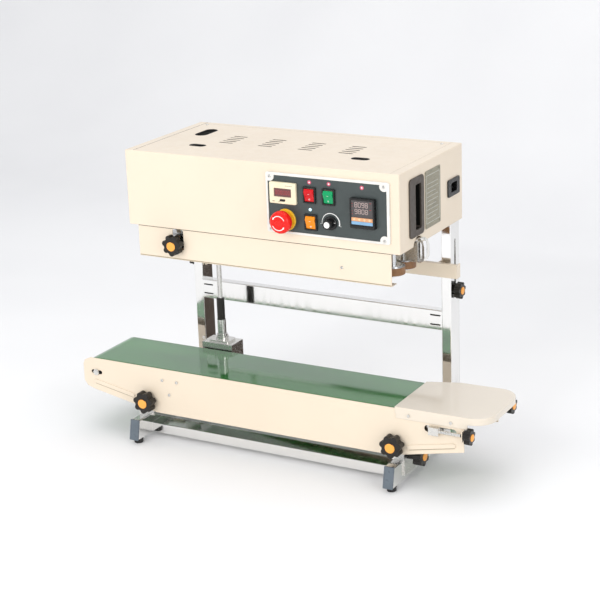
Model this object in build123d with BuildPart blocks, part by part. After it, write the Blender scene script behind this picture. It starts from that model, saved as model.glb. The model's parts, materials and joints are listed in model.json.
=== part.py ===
"""Band sealer: a tube stand carries a belt conveyor and, above it, a height-adjustable
sealing head with bands, heating and cooling blocks, gear motor and control panel.

Millimetres. +Z is up and the floor is z = 0; the front faces -Y. Bags travel from the
infeed tray at +X (right) to -X (left). Each piece is written to parts/NAME.step.
"""
from build123d import *
import os
from math import sin, cos, pi

os.makedirs("parts", exist_ok=True)

CUT = Mode.SUBTRACT

# ---------------------------------------------------------------------------
# Driving dimensions shared between sections
# ---------------------------------------------------------------------------
mid = -15.0                     # X of the machine's middle plane (stand and head)
sheet = 1.5                     # thickness of covers, conveyor panels and tube walls

# Stand: 20 x 40 tubes
left_tube, right_tube = mid - 285.0, mid + 277.0    # X of the tube centres
tube_xs = (left_tube, right_tube)
tubes = ((-1, left_tube), (1, right_tube))          # outward X direction, centre X
tube_half = 10.0
tube_inner = tube_half - sheet
foot_z0, foot_z1 = 10.0, 50.0
upright_y0, upright_y1 = 109.5, 149.5
clamp_y = (upright_y0 + upright_y1) / 2
slot_z0, slot_z1 = 310.0, 407.5                     # centres of the head-height slot

# Conveyor
panel_y0 = -115.0                                   # front panel
panel_y1 = panel_y0 + sheet
rear_y0 = 45.0                                      # rear panel
rear_y1 = rear_y0 + sheet
roller_r, drum_r = 28.0, 25.0
roller_y0, roller_y1 = -109.0, 23.0
nose_x, nose_z = mid - 396.0, 124.0
tens_x, tens_z = mid + 355.0, 124.0
drum_x, drum_z = mid - 197.0, 92.0
shaft_y = 51.0                                      # vertical drive shaft, at drum_x
shaft_bore = 5.12                                   # radius that clears the upper shaft
tens_front_y, tens_rear_y = -121.5, 53.0            # tension screws
tens_screw_hole = 3.1
conveyor_knob_xs = (mid - 273, mid + 273)
conveyor_knob_z = 83.0
saddle_knob_y, saddle_knob_z = -90.0, 57.5

# Head cover
head_half = 290.0
head_y0, head_y1 = -115.0, 158.5
head_z0, head_z1 = 446.0, 592.0
head_right = mid + head_half

# Sealing mechanism
seal_y = -40.0                                      # plane the two sealing bands meet on
half_gap = 0.5                                      # from that plane to either band
wheel_r = 22.0
band_t = 0.4
band_inner_r = wheel_r + 0.05
band_outer_r = band_inner_r + band_t
front_y = seal_y - half_gap - band_outer_r          # axes of the front band wheels
back_y = seal_y + half_gap + band_outer_r           # axes of the rear band wheels
drive_x, driven_x = mid - 238.0, mid + 250.0
wheel_axes = ((drive_x, front_y), (drive_x, back_y), (driven_x, front_y), (driven_x, back_y))
shaft_axes = (*wheel_axes, (drum_x, shaft_y))       # every shaft through the chassis plate
press_x, press_z = mid - 187.0, 415.0               # pressure knob axis
press_r = 10.0                                      # pressure rollers
press_reach = half_gap + band_t + 0.15 + press_r
front_press_y, back_press_y = seal_y - press_reach, seal_y + press_reach
chassis_z0, chassis_z1 = 450.0, 453.0
sprocket_r = 13.0
sprocket_z0, sprocket_z1 = 465.5, 471.5


# ---------------------------------------------------------------------------
# Helpers. Each shape helper adds to (or cuts from) the part being built. Axis is the
# direction of the sweep from low to high; u and v are the other two coordinates, in
# the order x, y, z.
# ---------------------------------------------------------------------------
def save(builder, name):
    builder.part.label = name
    export_step(builder.part, f"parts/{name}.step")


def from_mid(points):
    """Shift the first coordinate of each point from the middle plane to the origin."""
    return [(mid + x, other) for x, other in points]


def start_plane(axis, low, high):
    """Plane a sweep starts on; XZ faces -Y, so a y sweep starts at its high end."""
    if axis == "x":
        return Plane.YZ.offset(low)
    if axis == "y":
        return Plane.XZ.offset(-high)
    return Plane.XY.offset(low)


def block(x0, x1, y0, y1, z0, z1, mode=Mode.ADD):
    with Locations(((x0 + x1) / 2, (y0 + y1) / 2, (z0 + z1) / 2)):
        Box(x1 - x0, y1 - y0, z1 - z0, mode=mode)


def rod(axis, u, v, low, high, radius, mode=Mode.ADD):
    with BuildSketch(start_plane(axis, low, high)) as profile:
        with Locations((u, v)):
            Circle(radius)
    extrude(profile.sketch, amount=high - low, mode=mode)


def prism(axis, points, low, high, mode=Mode.ADD):
    with BuildSketch(start_plane(axis, low, high)) as profile:
        with BuildLine():
            Polyline(*points, close=True)
        make_face()
    extrude(profile.sketch, amount=high - low, mode=mode)


def slot(axis, u, v, length, width, angle, low, high, mode=Mode.ADD):
    """Round-ended slot; length is end to end."""
    with BuildSketch(start_plane(axis, low, high)) as profile:
        with Locations((u, v)):
            SlotOverall(length, width, rotation=angle)
    extrude(profile.sketch, amount=high - low, mode=mode)


def round_block(axis, u0, u1, v0, v1, low, high, radius, mode=Mode.ADD):
    """Block whose edges along the axis are rounded."""
    with BuildSketch(start_plane(axis, low, high)) as profile:
        with Locations(((u0 + u1) / 2, (v0 + v1) / 2)):
            RectangleRounded(u1 - u0, v1 - v0, radius)
    extrude(profile.sketch, amount=high - low, mode=mode)


def hex_nut(x, z, y0, y1):
    with BuildSketch(start_plane("y", y0, y1)) as profile:
        with Locations((x, z)):
            RegularPolygon(7, 6)
    extrude(profile.sketch, amount=y1 - y0)


def closed_loop(axis, wheels, thickness, low, high):
    """Taut loop round wheels given as (u, v, inner radius of the loop)."""
    for extra, mode in ((thickness, Mode.ADD), (0, CUT)):
        with BuildSketch(start_plane(axis, low, high)) as profile:
            for u, v, radius in wheels:
                with Locations((u, v)):
                    Circle(radius + extra)
            make_hull()
        extrude(profile.sketch, amount=high - low, mode=mode)


def facing_front(x, y, z):
    return Plane(origin=(x, y, z), x_dir=(1, 0, 0), z_dir=(0, -1, 0))


def facing_right(x, y, z):
    return Plane(origin=(x, y, z), x_dir=(0, 1, 0), z_dir=(1, 0, 0))


def facing_left(x, y, z):
    return Plane(origin=(x, y, z), x_dir=(0, -1, 0), z_dir=(-1, 0, 0))


def star_knob(plane, radius, hub, head, stud, stud_r=4.0):
    """Seven-lobe knob with a domed cap and a stud; the plane lies at the foot of the
    hub with its normal pointing out through the cap. hub, head and stud are lengths."""
    with BuildPart() as knob:
        with BuildSketch(plane):
            Circle(radius * 0.52)
        extrude(amount=hub)
        with BuildSketch(plane.offset(hub)):
            Circle(radius * 0.80)
            with PolarLocations(radius * 0.735, 7, start_angle=12):
                Circle(radius * 0.265)
        extrude(amount=head)
        top = knob.faces().sort_by(Axis(plane.origin, plane.z_dir))[-1]
        fillet(top.edges(), radius=min(1.6, radius * 0.08))
        with BuildSketch(plane.offset(hub + head)):
            Circle(radius * 0.42)
        extrude(amount=1.4, taper=18)
        with BuildSketch(plane):
            Circle(stud_r)
        extrude(amount=-stud)
    return knob


# ===========================================================================
# STAND
# ===========================================================================
foot_back = 145.0
foot_tip_top, foot_tip_low = -147.0, -155.5         # Y of the raked front end
upright_top = 472.0
cross_y0, cross_y1, cross_z0, cross_z1 = -106, -66, 11, 31
beam_y0, beam_y1, beam_z0, beam_z1 = upright_y0, upright_y0 + 20, 231, 271
weld_inset = 9.5                                    # cross members start inside the tubes

# Foot frame: two foot tubes with raked front ends, joined by a flat cross tube.
with BuildPart() as foot_frame:
    for x in tube_xs:
        side_outline = [(foot_tip_top, foot_z1), (foot_back, foot_z1),
                        (foot_back, foot_z0), (foot_tip_low, foot_z0)]
        prism("x", side_outline, x - tube_half, x + tube_half)
    fillet(foot_frame.edges().filter_by(Axis.Y), radius=2)
    round_block("x", cross_y0, cross_y1, cross_z0, cross_z1,
                left_tube + weld_inset, right_tube - weld_inset, 2)
    block(left_tube + 11, right_tube - 11, cross_y0 + sheet, cross_y1 - sheet,
          cross_z0 + sheet, cross_z1 - sheet, CUT)
    for x in tube_xs:
        block(x - tube_inner, x + tube_inner, -170, 170, foot_z0 + sheet, foot_z1 - sheet, CUT)
save(foot_frame, "foot_frame")

# Upright frame: two uprights with a vertical clamp slot through both side walls, joined
# by the rear crossbeam, which has two short slits at each end.
with BuildPart() as upright_frame:
    for x in tube_xs:
        block(x - tube_half, x + tube_half, upright_y0, upright_y1, foot_z1, upright_top)
    fillet(upright_frame.edges().filter_by(Axis.Z), radius=2)
    round_block("x", beam_y0, beam_y1, beam_z0, beam_z1,
                left_tube + weld_inset, right_tube - weld_inset, 2)
    block(left_tube + 11.5, right_tube - 11.5, beam_y0 + sheet, beam_y1 - sheet,
          beam_z0 + sheet, beam_z1 - sheet, CUT)
    for side, x in tubes:
        for z in (241.5, 260.5):
            slot("y", x - side * 23.5, z, 22, 2.6, 0, 108, 112, CUT)
    clamp_slot_w = 6.6
    clamp_slot_length = slot_z1 - slot_z0 + 2 + clamp_slot_w
    for x in tube_xs:
        block(x - tube_inner, x + tube_inner, upright_y0 + sheet, upright_y1 - sheet,
              foot_z1 - 1, upright_top + 1, CUT)
        slot("x", clamp_y, (slot_z0 + slot_z1) / 2, clamp_slot_length, clamp_slot_w, 90,
             x - 12, x + 12, CUT)
save(upright_frame, "upright_frame")

# End caps of the open tube ends, each a cover plate with a plug inside the tube.
cap_t = 3.0
plug_inset = 1.6                                    # plug surface inside the tube's outside
plug_depth = 10.0
plug_half = tube_half - plug_inset
plug_z0, plug_z1 = foot_z0 + plug_inset, foot_z1 - plug_inset
with BuildPart() as tube_end_caps:
    for x in tube_xs:
        cap = (x - tube_half, x + tube_half)
        plug = (x - plug_half, x + plug_half)
        prism("x", [(foot_tip_top, foot_z1), (foot_tip_low, foot_z0),
                    (foot_tip_low - cap_t, foot_z0), (foot_tip_top - cap_t, foot_z1)], *cap)
        prism("x", [(-138, plug_z1), (-138, plug_z0), (-155.2, plug_z0), (-147.4, plug_z1)],
              *plug)
        block(*cap, foot_back, foot_back + cap_t, foot_z0, foot_z1)
        block(*plug, foot_back - plug_depth, foot_back, plug_z0, plug_z1)
        block(*cap, upright_y0, upright_y1, upright_top, upright_top + cap_t)
        block(*plug, upright_y0 + plug_inset, upright_y1 - plug_inset,
              upright_top - plug_depth, upright_top)
    fillet(tube_end_caps.edges().filter_by(Axis.Z).group_by(Axis.Z)[-1], radius=1.5)
save(tube_end_caps, "tube_end_caps")

# Rubber feet, wider at the top.
with BuildPart() as rubber_feet:
    for x in tube_xs:
        for y in (-141.0, 131.0):
            with BuildSketch(Plane.XY) as pad:
                with Locations((x, y)):
                    Circle(9)
            extrude(pad.sketch, amount=foot_z0, taper=-4)
    chamfer(rubber_feet.edges().group_by(Axis.Z)[0], length=1)
save(rubber_feet, "rubber_feet")

# Saddles that sit on the foot tubes and carry the conveyor between slotted ears.
saddle_half = 13.0
saddle_y0, saddle_y1 = panel_y1 + 0.1, rear_y0 - 0.1
saddle_z1 = foot_z1 + 3
tab_x1 = mid + 290                                  # outer face of the knob tab
with BuildPart() as conveyor_saddles:
    for side, x in tubes:
        outer_x = x + side * saddle_half
        block(x - saddle_half, x + saddle_half, saddle_y0, saddle_y1, foot_z1, saddle_z1)
        block(*sorted((x + side * 10.1, outer_x)), -112, -60, 20, saddle_z1)
        for y0, y1 in ((saddle_y0, saddle_y0 + 2), (saddle_y1 - 2, saddle_y1)):
            block(*sorted((outer_x, mid + side * 263)), y0, y1, foot_z1, 118)
            slot("y", mid + side * 273, 93, 28.6, 8.6, 90, y0 - 1, y1 + 1, CUT)
    block(tab_x1 - 2.9, tab_x1, saddle_knob_y - 20, saddle_knob_y + 20, saddle_z1, 70)
    block(mid + 268, mid + 284, saddle_knob_y - 9, saddle_knob_y + 9, saddle_z1, 65)
    rod("x", saddle_knob_y, saddle_knob_z, mid + 260, mid + 295, 4.1, CUT)
save(conveyor_saddles, "conveyor_saddles")

saddle_clamp_knob = star_knob(facing_right(tab_x1 + 0.6, saddle_knob_y, saddle_knob_z),
                              radius=21, hub=14, head=17, stud=20)
save(saddle_clamp_knob, "saddle_clamp_knob")

# ===========================================================================
# CONVEYOR
# ===========================================================================
panel_z0 = 59.0                                     # lower edge of both panels
flange_depth = 14.0
cross_rod_xs = [mid + x for x in (-320, -100, 60, 220)]
cross_rod_z = 116.0

# Panel outlines: (x from the middle plane, z).
front_outline = from_mid([
    (-410, 153.3), (411, 153.3), (411, 89), (266, panel_z0), (-255, panel_z0),
    (-405, 87), (-420, 92), (-428, 102), (-428, 138), (-424, 147)])
rear_outline = from_mid([
    (-410, 143), (411, 143), (411, 89), (266, panel_z0), (-255, panel_z0),
    (-405, 87), (-420, 92), (-428, 102), (-428, 132), (-424, 140)])


def cut_panel_openings(y0, y1):
    """Nose axle slot, tension slot and clamp stud holes through one panel."""
    y0, y1 = y0 - 2, y1 + 2
    slot("y", nose_x, nose_z, 26, 8.3, 0, y0, y1, CUT)
    slot("y", mid + 364.5, tens_z, 64, 13, 0, y0, y1, CUT)
    for x in conveyor_knob_xs:
        rod("y", x, conveyor_knob_z, y0, y1, 4.15, CUT)


# Front panel: boat-shaped sheet with an embossed bead along each taper.
with BuildPart() as conveyor_front_panel:
    prism("y", front_outline, panel_y0, panel_y1)
    fillet(conveyor_front_panel.edges().filter_by(Axis.Y).group_by(Axis.X)[0], radius=6)
    block(mid - 250, mid + 255, panel_y1, panel_y1 + flange_depth, panel_z0, panel_z0 + sheet)
    slot("y", mid - 354, 96, 100, 8.5, -10.6, panel_y0 - 2.2, panel_y0)
    slot("y", mid + 346, 89.5, 100, 9, 11.6, panel_y0 - 2.2, panel_y0)
    fillet(conveyor_front_panel.edges().filter_by(Plane.XZ).group_by(Axis.Y)[0], radius=1.6)
    cut_panel_openings(panel_y0, panel_y1)
    # ear that holds the tension screw
    block(mid + 411, mid + 413, -128, panel_y1, tens_z - 10, tens_z + 10)
    rod("x", tens_front_y, tens_z, mid + 405, mid + 420, tens_screw_hole, CUT)
save(conveyor_front_panel, "conveyor_front_panel")

# Rear panel: cut away round the drive gears, with its own tension screw ear.
with BuildPart() as conveyor_rear_panel:
    prism("y", rear_outline, rear_y0, rear_y1)
    block(mid - 161, mid + 255, rear_y0 - flange_depth, rear_y0, panel_z0, panel_z0 + sheet)
    cut_panel_openings(rear_y0, rear_y1)
    block(mid - 233, mid - 161, rear_y0 - 2, rear_y1 + 2, 73, 150, CUT)
    block(mid + 409, mid + 420, rear_y0, rear_y1, 106, 141)
    block(mid + 420, mid + 422, rear_y0, 61.5, tens_z - 10, tens_z + 10)
    rod("x", tens_rear_y, tens_z, mid + 415, mid + 430, tens_screw_hole, CUT)
save(conveyor_rear_panel, "conveyor_rear_panel")

# Slider bed under the upper run of the belt, with a skirt down each long side.
bed_x = (mid - 364, mid + 322)
bed_y0, bed_y1 = -110.9, 24.0
bed_z = 150.2
with BuildPart() as slider_bed:
    block(*bed_x, bed_y0, bed_y1, bed_z, 151.9)
    block(*bed_x, bed_y0, bed_y0 + sheet, 132, bed_z)
    block(*bed_x, bed_y1 - sheet, bed_y1, 132, bed_z)
save(slider_bed, "slider_bed")

# Cross rods between the panels, and the nose axle with a nut outside each panel.
nut_t = 3.2
with BuildPart() as cross_rods:
    for x in cross_rod_xs:
        rod("y", x, cross_rod_z, panel_y1, rear_y0, 5)
    rod("y", nose_x, nose_z, panel_y0 - 4, rear_y1 + 4, 4)
    for y0 in (panel_y0 - nut_t, rear_y1):
        hex_nut(nose_x, nose_z, y0, y0 + nut_t)
save(cross_rods, "cross_rods")

# Infeed tray: shallow sheet tray with rounded right-hand corners, open to the left.
# Outlines: (x from the middle plane, y).
tray_y0 = -116.5
tray_outline = from_mid([(274, tray_y0), (458, tray_y0), (458, 48), (335, 44.6), (274, 24)])
tray_hollow = from_mid([(270, -115), (456.5, -115), (456.5, 46.4), (335, 43.0), (270, 20.9)])
tray_corner_r = 40.0
with BuildPart() as infeed_tray:
    prism("z", tray_outline, 144, 157)
    fillet(infeed_tray.edges().filter_by(Axis.Z).group_by(Axis.X)[-1], radius=tray_corner_r)
    fillet(infeed_tray.edges().group_by(Axis.Z)[-1].sort_by(Axis.X)[1:], radius=1.2)
    with BuildSketch(Plane.XY.offset(143)) as hollow:
        with BuildLine():
            Polyline(*tray_hollow, close=True)
        make_face()
        fillet(hollow.vertices().group_by(Axis.X)[-1], radius=tray_corner_r - sheet)
    extrude(hollow.sketch, amount=12.5, mode=CUT)
    block(mid + 260, mid + 292, -114.9, 60, 140, 155.5, CUT)
    block(mid + 276, mid + 418, tray_y0, tray_y0 + sheet, 135, 150)
save(infeed_tray, "infeed_tray")

# Belt: closed loop round nose roller, tension roller and drive drum.
belt_gap = 0.1
with BuildPart() as conveyor_belt:
    belt_wheels = ((nose_x, nose_z, roller_r + belt_gap), (tens_x, tens_z, roller_r + belt_gap),
                   (drum_x, drum_z, drum_r + belt_gap))
    closed_loop("y", belt_wheels, thickness=1.2, low=-111.0, high=25.0)
save(conveyor_belt, "conveyor_belt")


def end_roller(x, z, bore_r):
    rod("y", x, z, roller_y0, roller_y1, roller_r)
    rod("y", x, z, roller_y0 - 3, roller_y1 + 3, 9)
    rod("y", x, z, -120, 60, bore_r, CUT)


with BuildPart() as nose_roller:
    end_roller(nose_x, nose_z, 4.06)
save(nose_roller, "nose_roller")

with BuildPart() as tension_roller:
    end_roller(tens_x, tens_z, 5.06)
save(tension_roller, "tension_roller")

# Tension carriage: axle with an inner and an outer end block at each panel.
# Columns: y0, y1, half width in x, half height in z.
end_blocks = (
    (-116, -112.6, 8, 6.3), (-126, -116, 10, 7.5),
    (44, 47.6, 8, 6.3), (47.6, 57.5, 10, 7.5))
with BuildPart() as tension_carriage:
    rod("y", tens_x, tens_z, -117, 49, 5)
    for y0, y1, half_x, half_z in end_blocks:
        block(tens_x - half_x, tens_x + half_x, y0, y1, tens_z - half_z, tens_z + half_z)
    for y in (tens_front_y, tens_rear_y):
        rod("x", y, tens_z, tens_x - 12, tens_x + 12, tens_screw_hole, CUT)
save(tension_carriage, "tension_carriage")

# Bevel gear pair: the pitch cones have their common apex where drum and shaft axes cross.
bevel_r = 12.0                  # pitch radius, equal to the distance from the apex
bevel_small_r = 7.4             # pitch radius at the small end of the teeth
bevel_cone = ((bevel_r, 10.4), (bevel_r - 5, 5.5))  # distance from the apex, body radius
bevel_teeth = 12


def bevel_gear(axis_dir, phase):
    """Conical body with straight 45 degree teeth lofted towards the apex."""

    def level(distance):
        apex = Vector(drum_x, shaft_y, drum_z)
        return Plane(origin=apex + Vector(*axis_dir) * distance, x_dir=(1, 0, 0),
                     z_dir=axis_dir)

    ends = []
    for distance, radius in bevel_cone:
        with BuildSketch(level(distance), mode=Mode.PRIVATE) as disc:
            Circle(radius)
        ends.append(disc.sketch.faces()[0])
    loft(ends)
    for i in range(bevel_teeth):
        angle = 2 * pi / bevel_teeth * (i + phase)
        sections = []
        for pitch_r in (bevel_r, bevel_small_r):
            scale = pitch_r / bevel_r
            root, tip = pitch_r - 2.4 * scale, pitch_r + 0.8 * scale
            corners = [(root, -1.35 * scale), (tip, -0.7 * scale),
                       (tip, 0.7 * scale), (root, 1.35 * scale)]
            turned = [(x * cos(angle) - y * sin(angle), x * sin(angle) + y * cos(angle))
                      for x, y in corners]
            with BuildSketch(level(pitch_r), mode=Mode.PRIVATE) as tooth:
                Polygon(*turned, align=None)
            sections.append(tooth.sketch.faces()[0])
        loft(sections)


# Drive drum with its axle and bevel gear.
bevel_hub_r = 10.4
bevel_y = shaft_y - bevel_r
with BuildPart() as drive_drum:
    rod("y", drum_x, drum_z, roller_y0, roller_y1, drum_r)
    rod("y", drum_x, drum_z, -113.2, bevel_y, 6)
    rod("y", drum_x, drum_z, bevel_y - 5, bevel_y, bevel_hub_r)
    bevel_gear(axis_dir=(0, -1, 0), phase=0.0)
save(drive_drum, "drive_drum")

# Gear bracket: plate box with side ears and the flanged bearing of the vertical shaft on top.
box_half, box_inner = 35.0, 32.0                    # either side of drum_x
box_y0, box_y1 = shaft_y - 22, shaft_y + 22
box_z0, box_z1 = 75.0, 163.0
plate_t = 3.0
flange_z0 = box_z1 + plate_t
flange_z1 = flange_z0 + 4
with BuildPart() as gear_bracket:
    block(drum_x - box_half, drum_x + box_half, box_y0, box_y1, box_z1, flange_z0)
    block(drum_x - box_half, drum_x - box_inner, box_y0, box_y1, box_z0, box_z1)
    block(drum_x + box_inner, drum_x + box_half, box_y0, box_y1, box_z0, box_z1)
    block(drum_x - box_inner, drum_x + box_inner, box_y0, box_y0 + plate_t, box_z0, box_z1)
    for x0 in (drum_x - 53, drum_x + box_inner):
        block(x0, x0 + 21, rear_y1, rear_y1 + plate_t, 90, 135)
    round_block("z", drum_x - 23, drum_x + 23, shaft_y - 17, shaft_y + 17,
                flange_z0, flange_z1, 6)
    rod("z", drum_x, shaft_y, flange_z1, flange_z1 + 7, 13)
    rod("z", drum_x, shaft_y, 160, 180, 9.06, CUT)
    rod("y", drum_x, drum_z, 28, 33, 6.06, CUT)
save(gear_bracket, "gear_bracket")

# Lower drive shaft: hollow tube with the driven bevel gear at its foot.
bevel_z = drum_z + bevel_r
sleeve_z0, sleeve_z1 = 212.0, 257.0
with BuildPart() as lower_drive_shaft:
    rod("z", drum_x, shaft_y, bevel_z, sleeve_z0, 9)
    rod("z", drum_x, shaft_y, bevel_z, bevel_z + 6, bevel_hub_r)
    rod("z", drum_x, shaft_y, 177.2, 181, 11)
    rod("z", drum_x, shaft_y, bevel_z + 1.5, 220, shaft_bore, CUT)
    bevel_gear(axis_dir=(0, 0, 1), phase=0.5)
save(lower_drive_shaft, "lower_drive_shaft")

# Sleeve on top of the lower shaft.
with BuildPart() as shaft_sleeve:
    rod("z", drum_x, shaft_y, sleeve_z0, sleeve_z1, 8)
    fillet(shaft_sleeve.edges().group_by(Axis.Z)[-1], radius=1)
    rod("z", drum_x, shaft_y, sleeve_z0 - 2, sleeve_z1 + 3, shaft_bore, CUT)
save(shaft_sleeve, "shaft_sleeve")

# Knobs of the tension screws and of the conveyor clamps.
front_tension_knob = star_knob(facing_right(mid + 413.5, tens_front_y, tens_z),
                               radius=15.5, hub=5, head=11, stud=62, stud_r=3.0)
save(front_tension_knob, "front_tension_knob")

rear_tension_knob = star_knob(facing_right(mid + 422.5, tens_rear_y, tens_z),
                              radius=17, hub=5, head=12, stud=71, stud_r=3.0)
save(rear_tension_knob, "rear_tension_knob")

for name, x in zip(("left_conveyor_knob", "right_conveyor_knob"), conveyor_knob_xs):
    conveyor_knob = star_knob(facing_front(x, panel_y0 - 0.8, conveyor_knob_z),
                              radius=22.5, hub=5, head=17, stud=4.2)
    save(conveyor_knob, name)

# Screw heads of the conveyor and the two bolts that clamp its rear panel.
with BuildPart() as conveyor_screws:
    for x, z in from_mid([(-237, 130), (-203, 130), (-222, 101)]):
        rod("y", x, z, panel_y0 - 1.8, panel_y0, 3)
    for x in (mid + 302, mid + 386):
        rod("y", x, 143, tray_y0 - 1.8, tray_y0, 3)
    for x in cross_rod_xs:
        rod("y", x, cross_rod_z, rear_y1, rear_y1 + 2, 4)
    for x in conveyor_knob_xs:
        hex_nut(x, conveyor_knob_z, rear_y1, rear_y1 + 5)
        rod("y", x, conveyor_knob_z, 42, rear_y1, 4)
save(conveyor_screws, "conveyor_screws")

# ===========================================================================
# HEAD: chassis and covers
# ===========================================================================
# Head chassis: open channel in front of both uprights, with a threaded tab along the inner
# side of each upright for the clamp knob, and a web up to the horizontal mechanism plate.
channel_x0, channel_x1 = left_tube - 31, right_tube + 31
channel_y0, channel_y1 = 90.0, 106.0
channel_z0, channel_z1 = 345.0, 372.0
chassis_t = 2.0                                     # walls of channel, web and plate lips
mech_x = (mid - 284, mid + 282)
mech_y0 = -108.0
lip_z1 = chassis_z1 + 14
with BuildPart() as head_chassis:
    block(channel_x0, channel_x1, channel_y0, channel_y1, channel_z0, channel_z0 + chassis_t)
    block(channel_x0, channel_x1, channel_y0, channel_y0 + chassis_t,
          channel_z0 + chassis_t, channel_z1)
    block(channel_x0, channel_x1, channel_y0 + chassis_t, 98, channel_z1 - chassis_t, channel_z1)
    for x0 in (channel_x0, channel_x1 - chassis_t):
        block(x0, x0 + chassis_t, channel_y0, channel_y1, channel_z0, channel_z1)
    tab_xs = [x - side * 12.7 for side, x in tubes]
    for x in tab_xs:
        block(x - 1.3, x + 1.3, 91, 141, channel_z0, 370)
        block(x - 1.3, x + 1.3, 119.5, 141, 299, 345.5)
    for x in tab_xs:
        rod("x", clamp_y, slot_z0, x - 4, x + 4, 3.12, CUT)
    block(mid - 160, mid + 160, channel_y0, channel_y0 + chassis_t, channel_z1, chassis_z0)
    # horizontal plate that carries the sealing mechanism
    block(*mech_x, mech_y0, channel_y1, chassis_z0, chassis_z1)
    block(*mech_x, mech_y0, mech_y0 + chassis_t, chassis_z1, lip_z1)
    block(*mech_x, channel_y1 - chassis_t, channel_y1, chassis_z1, lip_z1)
    for x, y in shaft_axes:
        rod("z", x, y, 440, 460, 7, CUT)
    block(press_x - 5, press_x + 5, -80, -44, 440, 460, CUT)
    rod("z", press_x, back_press_y, 440, 460, 5, CUT)
save(head_chassis, "head_chassis")

# Cover: five-sided sheet-metal hood.
with BuildPart() as head_cover:
    block(mid - head_half, head_right, head_y0, head_y1, head_z0, head_z1)
    fillet(head_cover.edges().filter_by(Axis.Z), radius=2.5)
    fillet(head_cover.faces().sort_by(Axis.Z)[-1].edges(), radius=2.0)
    block(mid - head_half + sheet, head_right - sheet, head_y0 + sheet, head_y1 - sheet,
          head_z0 - 5, head_z1 - sheet, CUT)
    top_cut = (head_z1 - 5, head_z1 + 5)
    # four columns of louvres
    for x in (-135.5, -48.75, 37.75, 123.75):
        for y in (4, 18, 32, 46, 60):
            slot("z", mid + x, y, 31, 5, 0, *top_cut, CUT)
    # oval openings in the top
    slot("z", mid - 222.5, 72, 62, 27, 90, *top_cut, CUT)
    slot("z", mid - 176, -34, 36, 18, 0, *top_cut, CUT)
    slot("z", mid + 170.5, -28, 37, 18, 0, *top_cut, CUT)
    # control panel opening
    block(mid + 34, mid + 260, head_y0 - 2, head_y0 + 4, 473, 567, CUT)
    # grip opening and arched bag notch in each side wall
    for side in (-1, 1):
        wall_x = mid + side * head_half
        round_block("x", -66, -28, 471, 566, wall_x - 4, wall_x + 4, 4, CUT)
        rod("x", seal_y, 441.5, wall_x - 4, wall_x + 4, 20.5, CUT)
    # power inlet opening
    round_block("x", 92, 138, 504, 531, head_right - 4, head_right + 4, 2, CUT)
    # notch in the left wall that clears the top of the left upright
    round_block("x", 107, 152, 436, 478.5, mid - head_half - 4, mid - head_half + 4, 2, CUT)
save(head_cover, "head_cover")

# Front guard: hangs in front of the bands, lower edge folded back.
guard_y0, guard_z0, guard_z1 = -112.3, 383.5, 466.0
guard_profile = [
    (guard_y0, guard_z0), (-92, guard_z0), (-92, guard_z0 + sheet),
    (guard_y0 + sheet, guard_z0 + sheet), (guard_y0 + sheet, guard_z1), (guard_y0, guard_z1)]
with BuildPart() as front_guard:
    prism("x", guard_profile, mid - 271, mid + 271)
    fold = front_guard.edges().filter_by(Axis.X).group_by(Axis.Z)[0].sort_by(Axis.Y)[0]
    fillet(fold, radius=1.2)
    round_block("y", press_x - 6, press_x + 18, 404, 444, -120, -100, 3, CUT)
save(front_guard, "front_guard")

# ===========================================================================
# HEAD: control panel
# ===========================================================================
frame_y = -118.6                                    # front of the panel frame
face_y = -117.2                                     # front of the face plate
frame_outline = (mid + 22, mid + 272, 463.5, 576.5)
pad_points = from_mid([(30, 568.6), (262, 568.6), (262, 469.6), (30, 469.6)])
stop_x, stop_z = mid + 61.6, 489.3                  # emergency stop
speed_x, speed_z = mid + 153.9, 492.0
temp_x, temp_z = mid + 221.3, 517.2                 # temperature controller
count_x, count_z = mid + 58.5, 539.5                # bag counter
button_z = count_z - 13                             # counter reset button
switches = {                                        # rocker switch centres: x, z
    "red": (mid + 112.3, 540.1),
    "green": (mid + 151.3, 540.1),
    "amber": (mid + 113.6, 489.6),
}


def centred_block(x, z, half_x, half_z, y0, y1, mode=Mode.ADD):
    block(x - half_x, x + half_x, y0, y1, z - half_z, z + half_z, mode)


def centred_round(x, z, half_x, half_z, y0, y1, radius):
    round_block("y", x - half_x, x + half_x, z - half_z, z + half_z, y0, y1, radius)


# Frame with corner pads round its screws.
with BuildPart() as panel_frame:
    round_block("y", *frame_outline, frame_y, head_y0, 4)
    round_block("y", mid + 26, mid + 267, 467.5, 571.5, -120, head_y0 + 1, 1, CUT)
    for x, z in pad_points:
        rod("y", x, z, frame_y, head_y0, 9)
    round_block("y", *frame_outline, -125, -110, 4, Mode.INTERSECT)
save(panel_frame, "panel_frame")

# Face plate inside the frame, with an opening for each control.
with BuildPart() as panel_face:
    round_block("y", mid + 26.1, mid + 266.9, 467.6, 571.4, face_y, head_y0, 0.8)
    through = (-120, -110)
    for x, z in pad_points:
        rod("y", x, z, *through, 9.15, CUT)
    for x, z in switches.values():
        centred_block(x, z, 10.2, 13.2, *through, CUT)
    centred_block(temp_x, temp_z, 22.6, 25.6, *through, CUT)
    rod("y", stop_x, stop_z, *through, 8.6, CUT)
    rod("y", speed_x, speed_z, *through, 3.3, CUT)
    centred_block(count_x, count_z, 24, 17, *through, CUT)
save(panel_face, "panel_face")

# Screws of the panel, guard and cover.
with BuildPart() as head_screws:
    for x, z in pad_points:
        rod("y", x, z, frame_y - 1.6, frame_y, 3.1)
    rod("y", mid + 171, 409, -114, guard_y0, 3)
    for x in (mid + 259.7, mid - 259.7):
        rod("z", x, 134, head_z1, head_z1 + 1.6, 3)
save(head_screws, "head_screws")

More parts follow.
